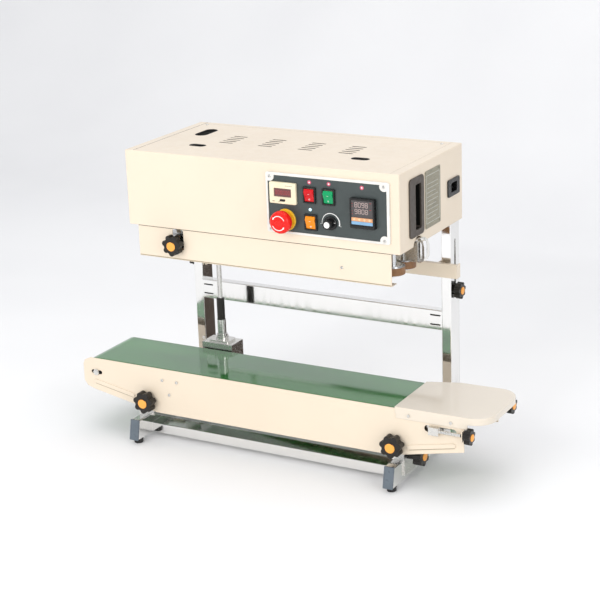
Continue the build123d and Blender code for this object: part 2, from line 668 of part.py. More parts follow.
# Bag counter with its window recess and reset button.
with BuildPart() as counter:
    centred_round(count_x, count_z, 27.5, 20, -122.5, face_y, 2.5)
    fillet(counter.faces().sort_by(Axis.Y)[0].edges(), radius=1.2)
    block(count_x - 18, count_x + 18, -123, -120.5, count_z - 7, count_z + 9, CUT)
    centred_block(count_x, count_z, 23.5, 16.5, face_y, -75)
    slot("y", count_x, button_z, 11, 4, 0, -125, -119, CUT)
save(counter, "counter")

with BuildPart() as counter_reset_button:
    slot("y", count_x, button_z, 10.8, 3.8, 0, -124, -120.6)
save(counter_reset_button, "counter_reset_button")

# Emergency stop: collar and mushroom button.
collar_y = -120.2
with BuildPart() as e_stop_base:
    rod("y", stop_x, stop_z, collar_y, face_y, 20.5)
    chamfer(e_stop_base.faces().sort_by(Axis.Y)[0].edges(), length=0.8)
    rod("y", stop_x, stop_z, -125, collar_y, 13)
    rod("y", stop_x, stop_z, -130, -110, 8.1, CUT)
save(e_stop_base, "e_stop_base")

with BuildPart() as e_stop_button:
    rod("y", stop_x, stop_z, -147, -130, 21)
    fillet(e_stop_button.faces().sort_by(Axis.Y)[0].edges(), radius=7)
    fillet(e_stop_button.faces().sort_by(Axis.Y)[-1].edges(), radius=2)
    rod("y", stop_x, stop_z, -130.5, -121.6, 8.0)
save(e_stop_button, "e_stop_button")

# Rocker switches: three identical bezels and three equally tilted rockers.
with BuildPart() as switch_bezels:
    for x, z in switches.values():
        centred_round(x, z, 12.75, 15.2, -120.6, face_y, 1.5)
        centred_block(x, z, 9.9, 12.8, -123, -110, CUT)
save(switch_bezels, "switch_bezels")

rocker_y = -117.0                                   # hinge axis
rocker_tilt = 8.0
rocker_half = 9.6
# Side profile of the paddle about its hinge: (y, z).
rocker_profile = [
    (4.0, -7.0), (0.0, -11.4), (-3.4, -11.6), (-3.6, -3.0),
    (-6.0, 6.4), (-2.2, 11.7), (0.0, 11.4), (4.0, 7.0)]


def rocker(x, z):
    """Paddle turned about an X axis; its upper end stands proud with a sloped facet."""
    with BuildPart() as paddle:
        prism("x", rocker_profile, x - rocker_half, x + rocker_half)
    tilted = Pos(0, rocker_y, z) * Rot(rocker_tilt, 0, 0) * paddle.part
    with BuildPart() as placed:
        add(tilted)
    return placed


for colour, (x, z) in switches.items():
    save(rocker(x, z), f"{colour}_rocker")

# Speed knob: skirt and a fluted grip.
with BuildPart() as speed_knob:
    rod("y", speed_x, speed_z, -121.5, -118.0, 12.8)
    chamfer(speed_knob.faces().sort_by(Axis.Y)[0].edges(), length=1.2)
    with BuildSketch(facing_front(speed_x, -121.0, speed_z)) as grip:
        Circle(8.2)
        with PolarLocations(8.0, 20):
            Circle(0.7)
    extrude(grip.sketch, amount=13)
    rod("y", speed_x, speed_z, -119, -114, 3)
save(speed_knob, "speed_knob")

# Temperature controller: bezel with a recessed front, and the body behind it.
with BuildPart() as temperature_controller:
    centred_round(temp_x, temp_z, 24.4, 27.6, -126.0, face_y, 1.5)
    fillet(temperature_controller.faces().sort_by(Axis.Y)[0].edges(), radius=1.0)
    block(temp_x - 21.4, temp_x + 21.4, -127, -125.0, temp_z - 22.6, temp_z + 24.4, CUT)
    centred_block(temp_x, temp_z, 22.3, 25.3, face_y, -62)
save(temperature_controller, "temperature_controller")

# ===========================================================================
# HEAD: side wall fittings
# ===========================================================================
# Flush grips in both side walls: rim outside, pocket inside.
with BuildPart() as side_grips:
    for side in (-1, 1):
        wall_x = mid + side * head_half
        rim_x = sorted((wall_x, wall_x + side * 2.4))
        pocket_x = sorted((wall_x, wall_x - side * 18))
        hollow_x = sorted((wall_x + side * 4, wall_x - side * 16))
        round_block("x", -76.8, -17, 464, 573, *rim_x, 8)
        round_block("x", -65.8, -28.2, 471.2, 565.8, *pocket_x, 3.8)
        round_block("x", -53, -29, 475.6, 559.5, *hollow_x, 3.5, CUT)
save(side_grips, "side_grips")

# Blank rating plate with four rivets.
with BuildPart() as rating_plate:
    round_block("x", -9, 57, 465.5, 573, head_right, head_right + 0.8, 3)
    for y in (-5, 53):
        for z in (469.5, 569):
            rod("x", y, z, head_right + 0.8, head_right + 1.6, 1.6)
save(rating_plate, "rating_plate")

# Power inlet with three recessed contact blades.
with BuildPart() as power_inlet:
    round_block("x", 89, 141, 501, 534, head_right, head_right + 2.6, 4)
    round_block("x", 92.2, 137.8, 504.2, 530.8, head_right - 26, head_right, 1.9)
    round_block("x", 102, 128, 508.5, 526.5, head_right - 17, head_right + 5, 3, CUT)
    for y, z in ((114, 519.5), (107, 512), (121, 512)):
        block(head_right - 18, head_right - 3, y, y + 2, z, z + 4.5)
save(power_inlet, "power_inlet")

# ===========================================================================
# HEAD: sealing mechanism
# ===========================================================================
# Pressure knob and the carriage of the front pressure roller.
pressure_knob = star_knob(facing_front(press_x, -113.0, press_z),
                          radius=21, hub=4, head=13, stud=52)
save(pressure_knob, "pressure_knob")

press_z0, press_z1 = 395.0, 407.0                   # rollers, heating and cooling blocks
carriage_z = 428.0                                  # underside of the carriage body
pin_r = 3.5
with BuildPart() as pressure_carriage:
    block(press_x - 17, press_x + 17, -82, -44, carriage_z, 449.6)
    block(press_x - 9, press_x + 9, -82, -66, 409.2, carriage_z)
    rod("y", press_x, press_z, -90, -60, 4.1, CUT)
    # bracket leg behind the guard's opening
    block(press_x + 9, press_x + 17, -104, -82, 440, 442)
    block(press_x + 9, press_x + 17, -106, -104, 412, 442)
    rod("z", press_x, front_press_y, press_z0, carriage_z, pin_r)
save(pressure_carriage, "pressure_carriage")

with BuildPart() as front_pressure_roller:
    rod("z", press_x, front_press_y, press_z0, press_z1, press_r)
    rod("z", press_x, front_press_y, 390, 412, 3.56, CUT)
save(front_pressure_roller, "front_pressure_roller")

with BuildPart() as rear_pressure_roller:
    rod("z", press_x, back_press_y, press_z0, press_z1, press_r)
    rod("z", press_x, back_press_y, press_z1, 462, pin_r)
save(rear_pressure_roller, "rear_pressure_roller")

gear_z0, gear_z1 = 456.0, 463.0
gear_teeth = 30
gear_pitch_r = (back_y - front_y) / 2


def band_wheel(x, y, top):
    """Band wheel with a smaller disc above and below, and its shaft."""
    rod("z", x, y, 393.5, 408.5, wheel_r)
    rod("z", x, y, 391.5, 410.5, wheel_r - 4)
    rod("z", x, y, 410, top, 6)


def spur_gear(x, y, phase):
    """One outline with straight-flanked teeth and backlash."""
    root_r, tip_r = gear_pitch_r - 1.7, gear_pitch_r + 1.1
    tooth = ((root_r, -1.35), (tip_r, -0.65), (tip_r, 0.65), (root_r, 1.35))  # radius, arc
    outline = []
    for i in range(gear_teeth):
        centre = 2 * pi / gear_teeth * (i + phase)
        for radius, arc in tooth:
            angle = centre + arc / radius
            outline.append((x + radius * cos(angle), y + radius * sin(angle)))
    prism("z", outline, gear_z0, gear_z1)


with BuildPart() as front_drive_wheel:
    band_wheel(drive_x, front_y, top=468)
    spur_gear(drive_x, front_y, phase=0.5)
save(front_drive_wheel, "front_drive_wheel")

# The rear drive wheel also carries the chain sprocket on a short hub.
with BuildPart() as rear_drive_wheel:
    band_wheel(drive_x, back_y, top=500)
    spur_gear(drive_x, back_y, phase=0.0)
    rod("z", drive_x, back_y, gear_z1, sprocket_z0, 11)
    rod("z", drive_x, back_y, sprocket_z0, sprocket_z1, sprocket_r)
save(rear_drive_wheel, "rear_drive_wheel")

for name, y in (("front_driven_wheel", front_y), ("rear_driven_wheel", back_y)):
    with BuildPart() as driven_wheel:
        band_wheel(driven_x, y, top=460)
    save(driven_wheel, name)

# Flanged bearings under the chassis plate, one per vertical shaft.
with BuildPart() as shaft_bearings:
    for x, y in shaft_axes:
        rod("z", x, y, 434, chassis_z0, 12)
        rod("z", x, y, 446, chassis_z0, 17)
        rod("z", x, y, 430, 452, 6.06, CUT)
save(shaft_bearings, "shaft_bearings")

# Two sealing bands.
with BuildPart() as sealing_bands:
    for y in (front_y, back_y):
        with BuildSketch(Plane.XY.offset(394)) as band:
            with Locations(((drive_x + driven_x) / 2, y)):
                SlotCenterToCenter(driven_x - drive_x, 2 * band_outer_r)
                SlotCenterToCenter(driven_x - drive_x, 2 * band_inner_r, mode=CUT)
        extrude(band.sketch, amount=14)
save(sealing_bands, "sealing_bands")

# Heating blocks and finned cooling blocks on both sides of the seal plane, hung on studs
# from the chassis plate.
block_spans = ((seal_y - 16, seal_y - 1.05), (seal_y + 1.05, seal_y + 16))
with BuildPart() as heating_blocks:
    for y0, y1 in block_spans:
        block(mid + 20, mid + 160, y0, y1, press_z0, press_z1)
        for x in (mid + 45, mid + 135):
            rod("z", x, (y0 + y1) / 2, press_z1, chassis_z0, 4)
        rod("x", (y0 + y1) / 2, 401, mid + 15, mid + 110, 3, CUT)
save(heating_blocks, "heating_blocks")

fin_pitch = 12.5
with BuildPart() as cooling_blocks:
    for y0, y1 in block_spans:
        block(mid - 130, mid - 20, y0, y1, press_z0, press_z1)
        for i in range(9):
            x = mid - 126 + i * fin_pitch
            block(x, x + 2.5, y0, y1, press_z1, 424)
        for x in (mid - 119.3, mid - 31.8):
            rod("z", x, (y0 + y1) / 2, press_z1, chassis_z0, 4)
save(cooling_blocks, "cooling_blocks")

# Worm gear motor on four posts above the drive gears.
motor_y, motor_z = -17.0, 508.0
# Motor barrel: x0 and x1 from drive_x, radius.
motor_steps = ((35, 43, 34), (43, 122, 30), (122, 128, 26))
# Post centres: x from drive_x, y.
motor_posts = ((-21, 12), (-21, -40), (30, -47), (34, -6))
with BuildPart() as gear_motor:
    block(drive_x - 26, drive_x + 35, -52, 18, 476, 540)
    fillet(gear_motor.edges().filter_by(Axis.Z), radius=6)
    for x0, x1, radius in motor_steps:
        rod("x", motor_y, motor_z, drive_x + x0, drive_x + x1, radius)
    for x, y in motor_posts:
        rod("z", drive_x + x, y, chassis_z1, 476.5, 4)
    rod("z", drive_x, back_y, 470, 505, 6.1, CUT)
save(gear_motor, "gear_motor")

# Transfer chain between the rear drive wheel and the vertical drive shaft.
chain_r = sprocket_r + 0.1
with BuildPart() as transfer_chain:
    closed_loop("z", ((drive_x, back_y, chain_r), (drum_x, shaft_y, chain_r)),
                thickness=3.5, low=sprocket_z0 + 1, high=sprocket_z1 - 1)
save(transfer_chain, "transfer_chain")

# Upper drive shaft: grooved rod that telescopes into the lower shaft, sprocket near its top.
with BuildPart() as upper_drive_shaft:
    rod("z", drum_x, shaft_y, 128, 434, 5)
    block(drum_x - 1.5, drum_x + 1.5, shaft_y - 6, shaft_y - 3.4, 128, 420, CUT)
    rod("z", drum_x, shaft_y, 434, 475, 6)
    rod("z", drum_x, shaft_y, sprocket_z0, sprocket_z1, sprocket_r)
save(upper_drive_shaft, "upper_drive_shaft")

# Clamp knobs that hold the head at its height.
knob_offset = tube_half + 0.2
clamp_planes = (facing_right(right_tube + knob_offset, clamp_y, slot_z0),
                facing_left(left_tube - knob_offset, clamp_y, slot_z0))
clamp_knobs = [star_knob(plane, radius=16.5, hub=3, head=12, stud=27, stud_r=3.0)
               for plane in clamp_planes]
with BuildPart() as head_clamp_knobs:
    for knob in clamp_knobs:
        add(knob.part)
save(head_clamp_knobs, "head_clamp_knobs")

# Bag entry guides: two bent tongues flaring towards the infeed.
# Plan of one tongue: (x from the middle plane, distance from the seal plane).
tongue_plan = from_mid([(262, 6), (291, 6), (307, 11.5), (307, 10.3), (291.3, 4.8), (262, 4.8)])
# Front view of both: (x from the middle plane, z).
tongue_outline = from_mid([
    (262, 414), (297, 414), (304, 418), (307, 425), (307, 446), (304, 455),
    (299, 459), (294, 459), (290, 452), (287.5, 449.8), (262, 449.8)])
guides_y = (seal_y - 20, seal_y + 20)
with BuildPart() as bag_guides:
    for side in (-1, 1):
        prism("z", [(x, seal_y + side * reach) for x, reach in tongue_plan], 398, 462)
    prism("y", tongue_outline, *guides_y, Mode.INTERSECT)
    slot("y", mid + 297.5, 437, 32, 9.5, 90, *guides_y, CUT)
    for side in (-1, 1):
        tab_y = sorted((seal_y + side * 5.2, seal_y + side * 20))
        block(mid + 269, mid + 281, *tab_y, 448.4, 449.9)
save(bag_guides, "bag_guides")
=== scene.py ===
# A bench conveyor machine: a belt conveyor with a head above it that carries the cover, guard,
# electrics and a control panel. Frame: X runs across the machine (+X right), the front faces
# -Y, Z is up, the floor is Z = 0. Pieces are laid out in millimetres; materials, stage, lights
# and camera use metres.
import bpy, bmesh, json
from math import sin, cos, pi, radians
from mathutils import Vector, Matrix


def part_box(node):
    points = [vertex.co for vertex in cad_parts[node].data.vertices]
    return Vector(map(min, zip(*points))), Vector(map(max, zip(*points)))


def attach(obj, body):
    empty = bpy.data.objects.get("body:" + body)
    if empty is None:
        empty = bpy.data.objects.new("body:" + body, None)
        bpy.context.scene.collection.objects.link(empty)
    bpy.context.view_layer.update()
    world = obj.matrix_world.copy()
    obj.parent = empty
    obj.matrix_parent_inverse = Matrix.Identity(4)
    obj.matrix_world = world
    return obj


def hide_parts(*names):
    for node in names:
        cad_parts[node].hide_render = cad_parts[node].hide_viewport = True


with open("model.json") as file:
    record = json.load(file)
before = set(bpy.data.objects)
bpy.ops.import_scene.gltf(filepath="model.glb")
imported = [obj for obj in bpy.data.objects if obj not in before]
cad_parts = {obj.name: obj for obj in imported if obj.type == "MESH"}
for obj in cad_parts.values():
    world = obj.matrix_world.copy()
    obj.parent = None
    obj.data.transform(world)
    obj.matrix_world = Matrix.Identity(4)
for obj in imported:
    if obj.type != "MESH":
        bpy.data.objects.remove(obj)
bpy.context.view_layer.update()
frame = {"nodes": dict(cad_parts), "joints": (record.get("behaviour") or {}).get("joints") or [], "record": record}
MM = 0.001
RIGHT, BACK, UP = (1, 0, 0), (0, 1, 0), (0, 0, 1)
FRONT = (0, -1, 0)


# ---------------------------------------------------------------------------
# Materials. Texture space is object space in metres, so every grain has its
# real size on every piece.
# ---------------------------------------------------------------------------
LOOKS = {}      # material by name


class Look:
    """A Principled material under construction, with short calls for its nodes."""

    def __init__(self, name):
        material = bpy.data.materials.new(name)
        material.use_nodes = True
        self.tree = material.node_tree
        self.tree.nodes.clear()
        self.surface = self.node("ShaderNodeBsdfPrincipled")
        self.node("ShaderNodeOutputMaterial", {0: self.surface.outputs[0]})
        self.coords = self.node("ShaderNodeTexCoord").outputs["Object"]
        LOOKS[name] = material

    def node(self, kind, inputs=None, **settings):
        node = self.tree.nodes.new(kind)
        for key, value in settings.items():
            setattr(node, key, value)
        for key, value in (inputs or {}).items():
            self.feed(node.inputs[key], value)
        return node

    def feed(self, socket, value):
        """Give a socket a number, an RGB tuple or a link."""
        if isinstance(value, (int, float)):
            socket.default_value = value
        elif isinstance(value, tuple):
            socket.default_value = (*value, 1)
        else:
            self.tree.links.new(value, socket)

    def put(self, key, value):
        self.feed(self.surface.inputs[key], value)

    def noise(self, scale, detail=3.0, rough=0.5, stretch=None, distortion=0.0):
        source = self.coords
        if stretch:
            mapping = self.node("ShaderNodeMapping", {0: source})
            mapping.inputs["Scale"].default_value = stretch
            source = mapping.outputs[0]
        return self.node("ShaderNodeTexNoise", {
            "Scale": scale, "Detail": detail, "Roughness": rough,
            "Distortion": distortion, "Vector": source}).outputs["Fac"]

    def bands(self, axis, scale, distortion=0.0):
        return self.node("ShaderNodeTexWave",
                         {"Scale": scale, "Distortion": distortion, "Vector": self.coords},
                         wave_type="BANDS", bands_direction=axis).outputs["Fac"]

    def span(self, value, to=(0.0, 1.0), over=(0.35, 0.65)):
        """Map the range `over` of a value onto the range `to`."""
        return self.node("ShaderNodeMapRange", {
            "From Min": over[0], "From Max": over[1],
            "To Min": to[0], "To Max": to[1], "Value": value}).outputs[0]

    def calc(self, operation, first, second):
        return self.node("ShaderNodeMath", {0: first, 1: second}, operation=operation).outputs[0]

    def mix(self, amount, first, second):
        """Blend two colours; sockets 6 and 7 are the colour pair of the Mix node."""
        return self.node("ShaderNodeMix", {0: amount, 6: first, 7: second},
                         data_type="RGBA").outputs[2]

    def soft_normal(self, radius):
        """Normal that rounds off the edges by a radius."""
        return self.node("ShaderNodeBevel", {"Radius": radius}, samples=4).outputs[0]

    def edge_mask(self, soft_normal):
        """0 on flat faces, rising to 1 along edges."""
        geometry = self.node("ShaderNodeNewGeometry")
        dot = self.node("ShaderNodeVectorMath", {0: soft_normal, 1: geometry.outputs["Normal"]},
                        operation="DOT_PRODUCT")
        return self.span(self.calc("SUBTRACT", 1.0, dot.outputs["Value"]), over=(0.02, 0.16))

    def worn_edges(self, soft_normal, patches, amount):
        """Edge mask broken up by patches of wear."""
        broken = self.calc("MULTIPLY", self.edge_mask(soft_normal), patches)
        return self.calc("MULTIPLY", broken, amount)

    def bump(self, height, strength, distance, normal=None):
        inputs = {"Strength": strength, "Distance": distance, "Height": height}
        if normal is not None:
            inputs["Normal"] = normal
        self.put("Normal", self.node("ShaderNodeBump", inputs).outputs[0])


def shade(colour, factor):
    return tuple(max(0.0, min(1.0, x * factor)) for x in colour)


def add_paint(name, colour, rough, peel, coat, chip, wear):
    """Powder coat: orange peel, faint tone drift, handling marks, lighter worn edges."""
    m = Look(name)
    drift = m.noise(scale=5.0, detail=2)
    tone = m.mix(m.span(drift), shade(colour, 0.975), shade(colour, 1.015))
    smudge = m.noise(scale=23.0, detail=5, rough=0.62, distortion=0.6)
    tone = m.mix(m.span(smudge, to=(0.0, 0.10), over=(0.56, 0.75)), tone, shade(colour, 0.80))
    normal = m.soft_normal(radius=0.0007)
    nicks = m.span(m.noise(scale=420.0, detail=3, rough=0.7), over=(0.52, 0.70))
    m.put("Base Color", m.mix(m.worn_edges(normal, nicks, wear), tone, chip))
    m.put("Roughness", m.span(m.noise(scale=60.0, detail=4, rough=0.6),
                              to=(rough - 0.05, rough + 0.08)))
    m.put("Coat Weight", coat)
    m.put("Coat Roughness", 0.12)
    m.bump(m.noise(scale=950.0, detail=2), strength=peel, distance=0.0003, normal=normal)


def add_metal(name, colour, rough, stretch, tarnish, bumps, grain):
    """Bare or plated metal: directional marks, tarnish patches, bright edges."""
    m = Look(name)
    patches = m.span(m.noise(scale=18.0, detail=4, rough=0.6), to=(0.0, tarnish), over=(0.45, 0.75))
    tone = m.mix(patches, colour, shade(colour, 0.62))
    normal = m.soft_normal(radius=0.0004)
    bright = m.calc("MULTIPLY", m.edge_mask(normal), 0.35)
    m.put("Base Color", m.mix(bright, tone, shade(colour, 1.12)))
    m.put("Metallic", 1.0)
    fine = m.noise(scale=grain, detail=3, rough=0.6, stretch=stretch)
    m.put("Roughness", m.span(fine, to=(max(0.02, rough - 0.06), rough + 0.10)))
    m.bump(fine, strength=bumps, distance=0.0002, normal=normal)


def add_plastic(name, colour, rough, bumps, scuff, sheen, specular, coat):
    """Moulded plastic: fine spark-eroded grain, scuffed highlights on edges."""
    m = Look(name)
    tone = m.mix(m.span(m.noise(scale=40.0)), shade(colour, 0.93), shade(colour, 1.06))
    normal = m.soft_normal(radius=0.0004)
    rub = m.span(m.noise(scale=260.0, detail=4, rough=0.7), over=(0.45, 0.7))
    rubbed = tuple(min(1.0, x * sheen + 0.05) for x in colour)
    m.put("Base Color", m.mix(m.worn_edges(normal, rub, scuff), tone, rubbed))
    m.put("Roughness", m.span(m.noise(scale=120.0), to=(rough - 0.06, rough + 0.08)))
    m.put("Specular IOR Level", specular)
    if coat:
        m.put("Coat Weight", coat)
        m.put("Coat Roughness", 0.05)
    m.bump(m.noise(scale=1500.0, detail=2), strength=bumps, distance=0.00015, normal=normal)


def add_rubber(name, colour, rough):
    """Dusty rubber."""
    m = Look(name)
    dust = m.noise(scale=70.0, detail=5, rough=0.65)
    dusty = tuple(x + 0.09 for x in colour)
    m.put("Base Color", m.mix(m.span(dust, to=(0.0, 0.4), over=(0.5, 0.75)), colour, dusty))
    m.put("Roughness", m.span(dust, to=(rough - 0.08, rough + 0.15)))
    m.bump(m.noise(scale=700.0, detail=4, rough=0.6), strength=0.25, distance=0.0003,
           normal=m.soft_normal(radius=0.0005))


def add_rocker(name, colour, glow):
    """Translucent rocker: clear glossy skin over a faintly lit ribbed core."""
    m = Look(name)
    ribs = m.calc("MULTIPLY", m.bands("X", scale=95.0, distortion=0.6), 0.35)
    tone = m.mix(ribs, colour, shade(colour, 0.62))
    m.put("Base Color", tone)
    m.put("Emission Color", tone)
    m.put("Emission Strength", glow)
    m.put("Roughness", 0.20)
    m.put("Specular IOR Level", 0.22)
    m.put("Coat Weight", 0.18)
    m.put("Coat Roughness", 0.04)
    m.bump(m.noise(scale=300.0, detail=2), strength=0.08, distance=0.0002,
           normal=m.soft_normal(radius=0.0005))


def add_glow(name, colour, strength, base):
    """Glowing segment or lens with a little mottling inside."""
    m = Look(name)
    mottle = m.span(m.noise(scale=900.0, detail=2))
    m.put("Base Color", base)
    m.put("Emission Color", m.mix(mottle, shade(colour, 0.85), colour))
    m.put("Emission Strength", strength)
    m.put("Roughness", 0.25)


def add_chrome():
    """Polished tube: near mirror with long draw marks and water spots."""
    m = Look("chrome_tube")
    spots = m.span(m.noise(scale=150.0, detail=5, rough=0.7), to=(0.0, 0.10), over=(0.58, 0.72))
    m.put("Base Color", m.mix(spots, (0.86, 0.855, 0.84), (0.62, 0.60, 0.56)))
    m.put("Metallic", 1.0)
    draw = m.noise(scale=90.0, detail=3, rough=0.6, stretch=(1.0, 1.0, 0.06))
    m.put("Roughness", m.span(draw, to=(0.05, 0.13)))
    m.bump(m.noise(scale=60.0, detail=2), strength=0.035, distance=0.0006,
           normal=m.soft_normal(radius=0.0012))


def add_belt():
    """Glossy PVC belt: slow ripples, faint weave and rub marks along the run."""
    m = Look("green_belt")
    weave = m.calc("MULTIPLY", m.bands("X", scale=230.0, distortion=1.0),
                   m.bands("Y", scale=230.0, distortion=1.0))
    marks = m.noise(scale=9.0, detail=4, rough=0.55, stretch=(0.25, 1.6, 1.0), distortion=0.4)
    m.put("Base Color", m.mix(m.span(marks, over=(0.35, 0.7)),
                              (0.010, 0.125, 0.020), (0.028, 0.205, 0.036)))
    m.put("Roughness", m.span(marks, to=(0.045, 0.13)))
    m.put("IOR", 1.62)
    m.put("Coat Weight", 0.60)
    m.put("Coat Roughness", m.span(m.noise(scale=5.0), to=(0.015, 0.10)))
    ripples = m.calc("MULTIPLY", m.noise(scale=7.0, detail=2), 3.0)
    m.bump(m.calc("ADD", m.calc("MULTIPLY", weave, 0.12), ripples),
           strength=0.10, distance=0.0004, normal=m.soft_normal(radius=0.0006))


def add_cloth_band():
    """PTFE-coated glass cloth: plain weave with scorched patches."""
    m = Look("ptfe_band")
    weave = m.calc("MULTIPLY", m.bands("X", scale=260.0), m.bands("Z", scale=260.0))
    scorch = m.span(m.noise(scale=30.0, detail=4, rough=0.6))
    tone = m.mix(scorch, (0.17, 0.075, 0.028), (0.33, 0.165, 0.06))
    m.put("Base Color", m.mix(m.calc("MULTIPLY", weave, 0.35), tone, (0.42, 0.24, 0.10)))
    m.put("Roughness", 0.45)
    m.bump(weave, strength=0.4, distance=0.0002)


def add_rating_plate():
    """Anodised plate: brushed, slightly mottled."""
    m = Look("rating_aluminium")
    brush = m.noise(scale=80.0, detail=4, rough=0.6, stretch=(1.0, 0.6, 14.0))
    mottle = m.noise(scale=55.0, detail=4, rough=0.7)
    tone = m.mix(m.span(brush), (0.25, 0.235, 0.175), (0.42, 0.395, 0.305))
    m.put("Base Color", m.mix(m.span(mottle, to=(0.0, 0.45), over=(0.48, 0.70)),
                              tone, (0.15, 0.16, 0.13)))
    m.put("Metallic", 0.7)
    m.put("Roughness", m.span(brush, to=(0.34, 0.50)))
    m.bump(brush, strength=0.08, distance=0.0002, normal=m.soft_normal(radius=0.0005))


BARE_CHIP = (0.62, 0.58, 0.52)
# name, colour, roughness, orange peel, clear coat, chip colour, edge wear
PAINTS = [
    ("cream_paint", (0.735, 0.632, 0.500), 0.34, 0.10, 0.25, BARE_CHIP, 0.35),
    ("tray_paint", (0.700, 0.625, 0.520), 0.12, 0.03, 0.8, BARE_CHIP, 0.25),
    ("motor_grey", (0.09, 0.10, 0.11), 0.42, 0.10, 0.25, (0.4, 0.4, 0.4), 0.35),
]
# name, colour, roughness, stretch of the marks, tarnish, bump strength, grain scale
METALS = [
    ("bright_steel", (0.74, 0.73, 0.70), 0.22, None, 0.25, 0.06, 500.0),
    ("turned_steel", (0.66, 0.65, 0.63), 0.20, (1, 1, 12), 0.12, 0.10, 160),
    ("chain_steel", (0.30, 0.29, 0.27), 0.38, None, 0.5, 0.05, 500.0),
    ("aluminium_wheel", (0.66, 0.67, 0.68), 0.27, (1, 1, 10), 0.12, 0.05, 220),
    ("aluminium_block", (0.62, 0.63, 0.64), 0.33, (6, 1, 1), 0.3, 0.05, 260),
    ("brass_block", (0.60, 0.40, 0.16), 0.34, (6, 1, 1), 0.55, 0.05, 260),
]
# name, colour, roughness, bump strength, edge scuff, brightness of the scuff, specular, coat
PLASTICS = [
    ("grey_plastic", (0.105, 0.130, 0.155), 0.32, 0.10, 0.35, 1.35, 0.5, 0),
    ("black_plastic", (0.012, 0.010, 0.008), 0.34, 0.22, 0.25, 2.0, 0.4, 0),
    ("black_gloss", (0.009, 0.009, 0.009), 0.24, 0.05, 0.25, 2.0, 0.3, 0.12),
    ("light_grey_plastic", (0.72, 0.70, 0.66), 0.36, 0.10, 0.2, 1.1, 0.5, 0),
    ("dark_face", (0.044, 0.056, 0.055), 0.36, 0.10, 0.15, 1.6, 0.5, 0),
    ("ivory_plastic", (0.78, 0.70, 0.50), 0.38, 0.08, 0.2, 1.1, 0.5, 0),
    ("yellow_plastic", (0.86, 0.50, 0.025), 0.30, 0.05, 0.2, 1.1, 0.5, 0),
    ("red_plastic", (0.80, 0.012, 0.008), 0.26, 0.04, 0.2, 1.1, 0.25, 0.12),
    ("brown_grey_plastic", (0.066, 0.053, 0.043), 0.42, 0.25, 0.30, 1.8, 0.35, 0),
    ("orange_cap", (0.90, 0.385, 0.075), 0.34, 0.05, 0.2, 1.1, 0.3, 0),
    ("white_print", (0.80, 0.80, 0.78), 0.40, 0.04, 0.1, 1.1, 0.5, 0),
    ("pink_print", (0.62, 0.10, 0.17), 0.40, 0.04, 0.1, 1.35, 0.5, 0),
    # Near-black that paints the shade inside the oval openings, under the louvres and in the grip pockets and
    # power inlet.
    ("dark_gap", (0.006, 0.006, 0.005), 0.80, 0.1, 0.05, 1.35, 0.1, 0),
    ("gap_line", (0.10, 0.080, 0.055), 0.7, 0.05, 0.05, 1.35, 0.15, 0),
    ("lip_shadow", (0.34, 0.285, 0.195), 0.6, 0.05, 0.05, 1.35, 0.2, 0),
    ("seam_shadow", (0.33, 0.265, 0.19), 0.6, 0.05, 0.05, 1.35, 0.5, 0),
    ("counter_window", (0.10, 0.013, 0.012), 0.10, 0.02, 0.1, 1.35, 0.5, 0.8),
    ("display_glass", (0.020, 0.012, 0.012), 0.08, 0.02, 0.1, 1.35, 0.5, 0.9),
    ("key_strip", (0.66, 0.33, 0.17), 0.45, 0.05, 0.1, 1.1, 0.5, 0),
    ("key_dot", (0.80, 0.50, 0.28), 0.40, 0.05, 0.1, 1.1, 0.5, 0),
    ("blue_strip", (0.20, 0.37, 0.56), 0.42, 0.05, 0.1, 1.1, 0.5, 0),
    ("cable_black", (0.015, 0.015, 0.016), 0.45, 0.1, 0.2, 1.35, 0.5, 0),
    ("cable_red", (0.42, 0.02, 0.02), 0.45, 0.1, 0.2, 1.35, 0.5, 0),
    ("cable_white", (0.60, 0.58, 0.52), 0.50, 0.3, 0.2, 1.35, 0.5, 0),
]
# name, colour, roughness
RUBBERS = [
    ("black_rubber", (0.014, 0.014, 0.015), 0.62),
    ("black_rubber_roller", (0.020, 0.020, 0.021), 0.45),
    ("silicone", (0.33, 0.075, 0.035), 0.5),
]
# name, colour, emission strength
ROCKERS = [
    ("red_rocker", (0.56, 0.006, 0.010), 0.06),
    ("green_rocker", (0.003, 0.30, 0.105), 0.08),
    ("amber_rocker", (0.80, 0.24, 0.008), 0.12),
]
# name, glow colour, emission strength, base colour
GLOWS = [
    ("dim_segments", (0.30, 0.03, 0.03), 0.25, (0.30, 0.03, 0.03)),
    ("lit_segments", (0.66, 0.52, 0.48), 0.26, (0.26, 0.20, 0.19)),
    ("power_led", (0.62, 0.90, 1.0), 0.75, (0.62, 0.90, 1.0)),
]
for add, table in ((add_paint, PAINTS), (add_metal, METALS), (add_plastic, PLASTICS),
                   (add_rubber, RUBBERS), (add_rocker, ROCKERS), (add_glow, GLOWS)):
    for row in table:
        add(*row)
for add in (add_chrome, add_belt, add_cloth_band, add_rating_plate):
    add()

# Each CAD piece wears the material of its slot.
slot_of = {s["node"]: s["material_slot"] for s in frame["record"]["subparts"]}
for name, ob in frame["nodes"].items():
    ob.data.materials.clear()
    ob.data.materials.append(LOOKS[slot_of[name]])
    for polygon in ob.data.polygons:
        polygon.material_index = 0
